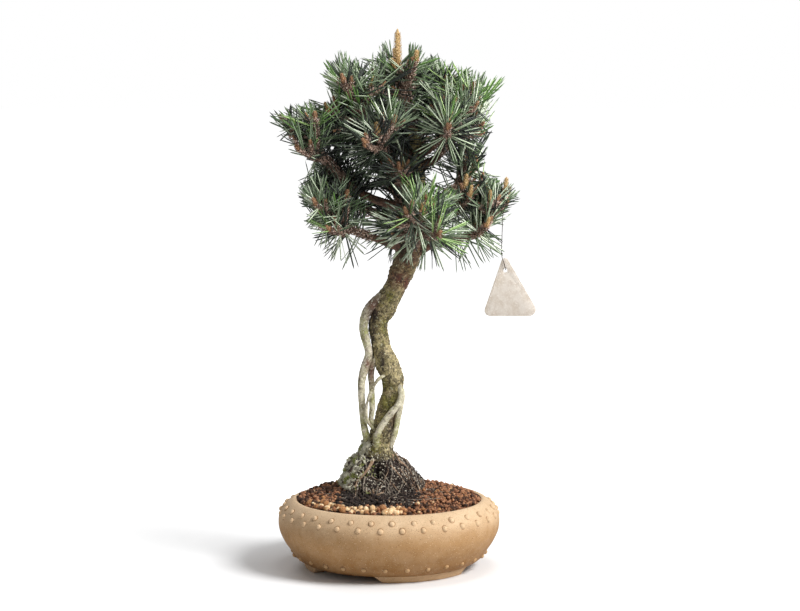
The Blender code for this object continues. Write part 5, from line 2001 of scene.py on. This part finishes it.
@dataclass
class MoundGrowth(RootMound):
    """What grows and sticks on the mound: fine roots, grit, and grey moss on the left."""

    replaced = ()
    strands: int = 340
    creepers: int = 150
    moss: int = 13500
    cushions: int = 96
    grit: int = 2600

    def strand(self, rng: random.Random, start: float, share: float, end: float, lift: float) -> Line:
        """Lay a fine root down the mound.

        Args:
            rng: Seeded numbers.
            start, lift: Its angle, and how far above the surface it runs.
            share, end: How far up it starts and ends.

        Returns:
            Its points.
        """
        drift = rng.gauss(0, 0.42)
        phase = rng.uniform(0, 6)
        wave = rng.uniform(0.03, 0.13)
        pace = rng.uniform(4, 9)
        points = []
        for k in range(11):
            t = k / 10
            turn = start + drift * t + wave * sin(phase + pace * t)
            hump = lift + 1 * sin(phase * 2 + 5 * t)
            points.append(self.surface(turn, share + (end - share) * t, hump))
        return points

    def build_strands(self) -> None:
        """Build the fine roots, in three colours, and the few stout ones."""
        rng = random.Random(41)
        rod = Template.tube(4, 8)
        skins = {
            "tan": Earth("fine_roots_tan", (184, 154, 126), (136, 108, 86), (216, 192, 166), 260, 0.8, 0.1),
            "grey": Earth("fine_roots_grey", (150, 138, 124), (108, 98, 88), (194, 184, 168), 260, 0.8, 0.1),
            "dark": Earth("fine_roots_dark", (70, 54, 46), (44, 34, 30), (106, 86, 74), 260, 0.85, 0.1),
        }
        groups = {kind: [] for kind in skins}
        for number in range(self.strands + self.creepers):
            turn = rng.uniform(0, 2 * pi)
            share = rng.uniform(0.25, 1.3)
            end = max(-0.05, share - rng.uniform(0.25, 0.8))
            if number >= self.strands:
                turn = radians(-100 + rng.gauss(0, 52))
                share = rng.uniform(-0.2, 0.45)
                end = -rng.uniform(0.35, 1.05)
            radius = rng.uniform(0.18, 0.42) * (1.7 if rng.random() < 0.14 else 1)
            kind = rng.choice(("tan", "grey", "grey", "dark", "dark"))
            points = self.strand(rng, turn, share, end, rng.uniform(0.1, 1.1))
            if max(self.in_hollow(point) for point in points) < 0.5:
                groups[kind].append((points, radius))
        for kind, rows in STOUT_ROOTS.items():
            for angle, share, end, radius, drift in rows:
                turn = radians(angle)
                points = [self.surface(turn + drift * k / 10, share + (end - share) * k / 10, 0.8)
                          for k in range(11)]
                groups[kind].append((points, radius))
        for kind, items in groups.items():
            copies = Copies()
            paths = np.array([table(points) for points, _ in items])
            radii = np.array([[radius * (1 - 0.55 * k / 10) for k in range(11)] for _, radius in items])
            copies.follow(rod, paths, radii)
            self.joined("mound_roots_" + kind, copies, skins[kind])

    def build_moss(self) -> None:
        """Build the tufts of moss on the left of the mound and up the foot of the trunk."""
        rng = random.Random(19)
        blade = Template.rod(3, ((0, 1), (0.5, 0.8), (1, 0)), 0.6)
        skins = {
            "grey": Earth("moss_grey", (232, 228, 206), (186, 180, 154), (252, 250, 236), 400, 0.85, 0.05),
            "olive": Earth("moss_olive", (160, 166, 92), (112, 118, 60), (210, 214, 150), 400, 0.85, 0.05),
        }
        groups = {kind: [] for kind in skins}
        for _ in range(self.moss):
            turn = radians(rng.gauss(184, 30))
            share = rng.uniform(0.12, 1.5)
            spot = self.surface(turn, share, -0.2)
            clump = noise.noise(spot * 0.16) + 0.8 * noise.noise(spot * 0.37)
            if clump < 0.1 + 0.2 * max(0, share - 1) + 0.7 * max(0, 0.4 - share):
                continue
            out = Vector((cos(turn), sin(turn), 0.6 + 0.5 * share))
            spot += out * 2.4 * min(0.7, clump)
            heading = (out + Vector([rng.uniform(-1, 1) for _ in range(3)]) * 1.3).normalized()
            kind = "olive" if noise.noise(spot * 0.11 + Vector((9, 0, 0))) > 0.2 else "grey"
            groups[kind].append((spot, heading, rng.uniform(1.5, 4)))
        seeds = np.random.default_rng(3)
        lumps = Copies()
        turn = np.radians(seeds.normal(184, 28, self.cushions))
        spots = table([self.surface(float(a), float(b), 0.5)
                       for a, b in zip(turn, seeds.uniform(0.32, 1.45, self.cushions))])
        lumps.tumble(Template.pebble(0.5, 2), spots, seeds.uniform(0.9, 2.6, (self.cushions, 3)), seeds)
        # The cushions are darker than the blades: partly the moss's browner base, partly painted shade in the
        # gaps between tufts.
        cushion = Earth("moss_cushion", (150, 146, 120), (72, 64, 50), (222, 220, 196), 420, 0.9, 0.6)
        self.joined("mound_moss_cushions", lumps, cushion)
        for kind, items in groups.items():
            copies = Copies()
            spots, forward = (table([item[k] for item in items]) for k in (0, 1))
            copies.stand(blade, spots, forward, across(forward, seeds), [item[2] for item in items],
                         seeds.uniform(0.32, 0.78, len(items)), seeds.uniform(-0.5, 0.5, len(items)))
            self.joined("mound_moss_" + kind, copies, skins[kind])

    def build_grit(self) -> None:
        """Build the pale and dark grit that sticks in the peat."""
        rng = np.random.default_rng(29)
        pebble = Template.pebble(0.3, 9, True)
        turn = rng.uniform(-np.pi, np.pi, self.grit)
        front, around = (rng.uniform(low, 1.05, self.grit) for low in (-0.95, -0.15))
        share = np.where(np.abs(turn + 1.75) < 0.75, front, around)
        spots = table([self.surface(float(a), float(s), 0.2) for a, s in zip(turn, share)])
        pale = rng.random(self.grit) < np.where(np.abs(turn + 1.2) < 1.3, 0.42, 0.2)
        size = np.where(pale, 0.78, 1.25) * rng.uniform(0.5, 1.35, self.grit)
        white = Earth("grit_pale", (214, 206, 188), (178, 166, 146), (238, 234, 222), 500, 0.7, 0.1)
        black = Earth("grit_dark", (54, 43, 38), (34, 27, 25), (92, 75, 62), 500, 0.85, 0.2)
        for skin, pick in ((white, pale), (black, ~pale)):
            copies = Copies()
            copies.tumble(pebble, spots[pick], size[pick, None] * rng.uniform(0.7, 1.1, (pick.sum(), 3)), rng)
            self.joined("mound_" + skin.name, copies, skin)

    def build(self) -> None:
        """Build all that is on the mound."""
        self.build_strands()
        self.build_moss()
        self.build_grit()


# The tag.


@dataclass
class HangTag(Part):
    """The bare card tag, a blunt triangle with rounded corners and a hole."""

    slot = "card"
    replaced = ("hang_tag",)
    thick: float = 1
    apex: tuple[float, float] = (113.3, 314)
    corners: tuple[tuple[float, float], ...] = ((92, 251.8), (149.5, 251.8))
    radii: tuple[float, ...] = (3.6, 5.5, 6.5)
    corner_steps: int = 10
    hole: float = 1.9

    def outline(self) -> Line:
        """Return the card's rounded outline."""
        corners = [Vector(self.apex), *(Vector(corner) for corner in self.corners)]
        outline = []
        for i, corner in enumerate(corners):
            before = (corners[i - 1] - corner).normalized()
            after = (corners[(i + 1) % 3] - corner).normalized()
            half = before.angle(after) / 2
            centre = corner + (before + after).normalized() * self.radii[i] / sin(half)
            first = (corner + before * self.radii[i] / tan(half)) - centre
            last = (corner + after * self.radii[i] / tan(half)) - centre
            for k in range(self.corner_steps + 1):
                radial = first.normalized().slerp(last.normalized(), k / self.corner_steps)
                outline.append(centre + radial * self.radii[i])
        return outline

    def build(self) -> None:
        """Build the card with its hole and softly rounded edges."""
        bm = bmesh.new()
        front = TAG_HOLE[1] - self.thick / 2
        rim = [bm.verts.new((p.x, front, p.y)) for p in self.outline()]
        edges = [bm.edges.new((a, b)) for a, b in zip(rim, rim[1:] + rim[:1])]
        count = len(rim)
        ring = []
        for k in range(count):
            turn = 2 * pi * k / count
            point = 1 + 0.35 * max(0, sin(turn)) ** 6
            ring.append(bm.verts.new((TAG_HOLE[0] + self.hole * cos(turn), front,
                                      TAG_HOLE[2] + self.hole * point * sin(turn))))
        edges += [bm.edges.new((a, b)) for a, b in zip(ring, ring[1:] + ring[:1])]
        bmesh.ops.triangle_fill(bm, edges=edges, use_beauty=True)
        grown = bmesh.ops.extrude_face_region(bm, geom=bm.faces[:])["geom"]
        bmesh.ops.translate(bm, vec=(0, self.thick, 0),
                            verts=[item for item in grown if isinstance(item, bmesh.types.BMVert)])
        bmesh.ops.recalc_face_normals(bm, faces=bm.faces[:])
        sharp = [edge for edge in bm.edges if edge.is_manifold and edge.calc_face_angle() > 1.2]
        soften(bm, sharp, 0.22, 2)
        board = Earth("plain_card", (210, 201, 190), (196, 184, 170), (218, 210, 200), 140, 0.76, 0.03)
        self.shape("tag_card", bm, 40, board)


@dataclass
class TagThread(Part):
    """The tag's two-ply thread, with a knot above the hole."""

    slot = "thread"
    replaced = ("tag_thread",)
    plies: int = 2
    turns: float = 2.6
    ply_radius: float = 0.26
    knot: Point = (110.9, -13.7, 313.5)

    def path(self) -> Line:
        """Return the thread's line: round the twig, down, and through the hole."""
        main = [Vector(row) for row in smooth_rows((MASSES[6].foot, MASSES[6].knee, MASSES[6].tip), 2)]
        near = min(range(1, len(main) - 1), key=lambda i: abs(main[i].x - 111.4))
        along = (main[near + 1] - main[near - 1]).normalized()
        side = along.cross(Vector((0, 1, 0))).normalized()
        front = side.cross(along)
        loop = [main[near] + (side * cos(turn) + front * sin(turn)) * 3.4
                for turn in [radians(angle) for angle in range(200, 560, 24)]]
        return loop + [Vector(row) for row in smooth_rows(THREAD_ROWS, 2)]

    def build(self) -> None:
        """Build the plies, which wind about each other, and the knot."""
        line = [Vector(row) for row in smooth_rows(self.path(), 0.7)]
        rings = limb_rings(line, [1] * len(line))
        copies = Copies()
        rod = Template.tube(5, len(line))
        for ply in range(self.plies):
            points = []
            for k, ring in enumerate(rings):
                turn = self.turns * 0.7 * k + pi * ply
                aside = ring.normal * cos(turn) + ring.binormal * sin(turn)
                points.append(ring.centre + aside * 0.2)
            copies.follow(rod, table(points)[None], np.full((1, len(line)), self.ply_radius))
        loops = []
        for k in range(41):
            turn = 2 * pi * k / 20
            bend = Vector((0.75 * cos(turn), 0.75 * sin(turn), 0.55 * cos(1.5 * turn)))
            loops.append(Vector(self.knot) + bend)
        copies.follow(Template.tube(5, 41), table(loops)[None], np.full((1, 41), 0.36))
        fibre = Earth("waxed_thread", (66, 46, 40), (40, 28, 26), (96, 70, 60), 600, 0.7, 0.1)
        self.joined("tag_thread_ply", copies, fibre)


# The studio.


@dataclass(frozen=True)
class SoftBox:
    """One soft lamp: its place, its size, its power and its colour."""

    name: str
    place: Point
    size: float
    power: float
    colour: Point = (1, 1, 1)


@dataclass
class Studio:
    """A plain pale floor, soft lamps, and the camera at the photograph's place."""

    target: Vector = field(default_factory=lambda: Vector((0, 0, 0.26)))
    lamps: tuple[SoftBox, ...] = (
        SoftBox("key", (1.6, -0.95, 1.85), 1.1, 82),
        SoftBox("fill", (-1.9, -1.6, 0.9), 1.6, 1),
        SoftBox("rim", (-0.9, 1.7, 1.6), 1.2, 12),
        SoftBox("top", (0.3, 0.1, 2.4), 0.9, 12),
    )
    world: float = 0.28
    distance: float = 2.2
    height: float = 0.48
    pitch: float = 5.684
    focal: float = 36 * 2232 / 800

    def build_floor(self) -> None:
        """Lay the pale floor, which glows for the camera away from the pot: painted light."""
        bm = bmesh.new()
        bmesh.ops.create_circle(bm, cap_ends=True, segments=96, radius=40)
        mesh = bpy.data.meshes.new("studio_floor")
        bm.to_mesh(mesh)
        bm.free()
        floor = bpy.data.objects.new("studio_floor", mesh)
        bpy.context.scene.collection.objects.link(floor)
        skin = Skin("pale_floor")
        skin.feed(skin.shader["Base Color"], skin.mix(skin.noise(2), (232, 232, 233), (236, 236, 236)))
        skin.shader["Roughness"].default_value = 0.8
        reach = skin.add("ShaderNodeVectorMath", {0: skin.position()}, operation="LENGTH").outputs["Value"]
        # Painted light: camera rays see the floor glow, from nothing at the pot to full beyond 0.72 m, washing
        # out cast shadows.
        glow = skin.mix(skin.span(reach, 0.06, 0.72), (0, 0, 0), (232, 232, 232))
        skin.feed(skin.shader["Emission Color"], glow)
        seen = skin.add("ShaderNodeLightPath").outputs["Is Camera Ray"]
        skin.feed(skin.shader["Emission Strength"], seen)
        mesh.materials.append(skin.material)

    def build_lamps(self) -> None:
        """Hang the lamps and light the room."""
        for box in self.lamps:
            light = bpy.data.lights.new(box.name, "AREA")
            light.shape = "DISK"
            light.size = box.size
            light.energy = box.power
            light.color = box.colour
            lamp = bpy.data.objects.new(box.name, light)
            lamp.location = box.place
            lamp.rotation_euler = (self.target - Vector(box.place)).to_track_quat("-Z", "Y").to_euler()
            bpy.context.scene.collection.objects.link(lamp)
        world = bpy.data.worlds.new("studio")
        world.use_nodes = True
        graph = Graph(world.node_tree)
        room = world.node_tree.nodes["Background"]
        graph.feed(room.inputs["Color"], (255, 255, 255))
        graph.feed(room.inputs["Strength"], self.world)
        backdrop = graph.add("ShaderNodeBackground", {"Color": (255, 255, 255)}).outputs[0]
        seen = graph.add("ShaderNodeLightPath").outputs["Is Camera Ray"]
        both = graph.add("ShaderNodeMixShader", {0: seen, 1: room.outputs[0], 2: backdrop}).outputs[0]
        graph.feed(world.node_tree.nodes["World Output"].inputs["Surface"], both)
        bpy.context.scene.world = world
        bpy.context.scene.view_settings.view_transform = "Standard"

    def build_camera(self, axis_x: float) -> None:
        """Set up the camera in front of the pot.

        Args:
            axis_x: Where the pot's axis is.
        """
        camera = bpy.data.cameras.new("studio_camera")
        camera.lens = self.focal
        camera.sensor_width = 36
        camera.clip_end = 100
        holder = bpy.data.objects.new("studio_camera", camera)
        holder.location = (axis_x + 0.011, -self.distance, self.height)
        holder.rotation_euler = (radians(90 - self.pitch), 0, 0)
        bpy.context.scene.collection.objects.link(holder)
        bpy.context.scene.camera = holder

    def build(self, axis_x: float) -> None:
        """Build the studio."""
        self.build_floor()
        self.build_lamps()
        self.build_camera(axis_x)


def main() -> None:
    """Build the studio and the whole bonsai."""
    logging.basicConfig(level=logging.INFO, format="%(name)s %(message)s")
    noise.seed_set(NOISE_SEED)
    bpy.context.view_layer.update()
    low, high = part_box("pot")
    axis = Vector(((low.x + high.x) / 2, (low.y + high.y) / 2, 0))
    Studio().build(axis.x)
    bench = Bench(axis, SharedEffects())
    for part in (DrumPot, PotFeet, SoilBed, RootMound, MoundGrowth, Trunk, ExposedRoots, Boughs, Crown,
                 HangTag, TagThread):
        part(bench).build()
    bpy.context.view_layer.update()


if __name__ == "__main__":
    main()
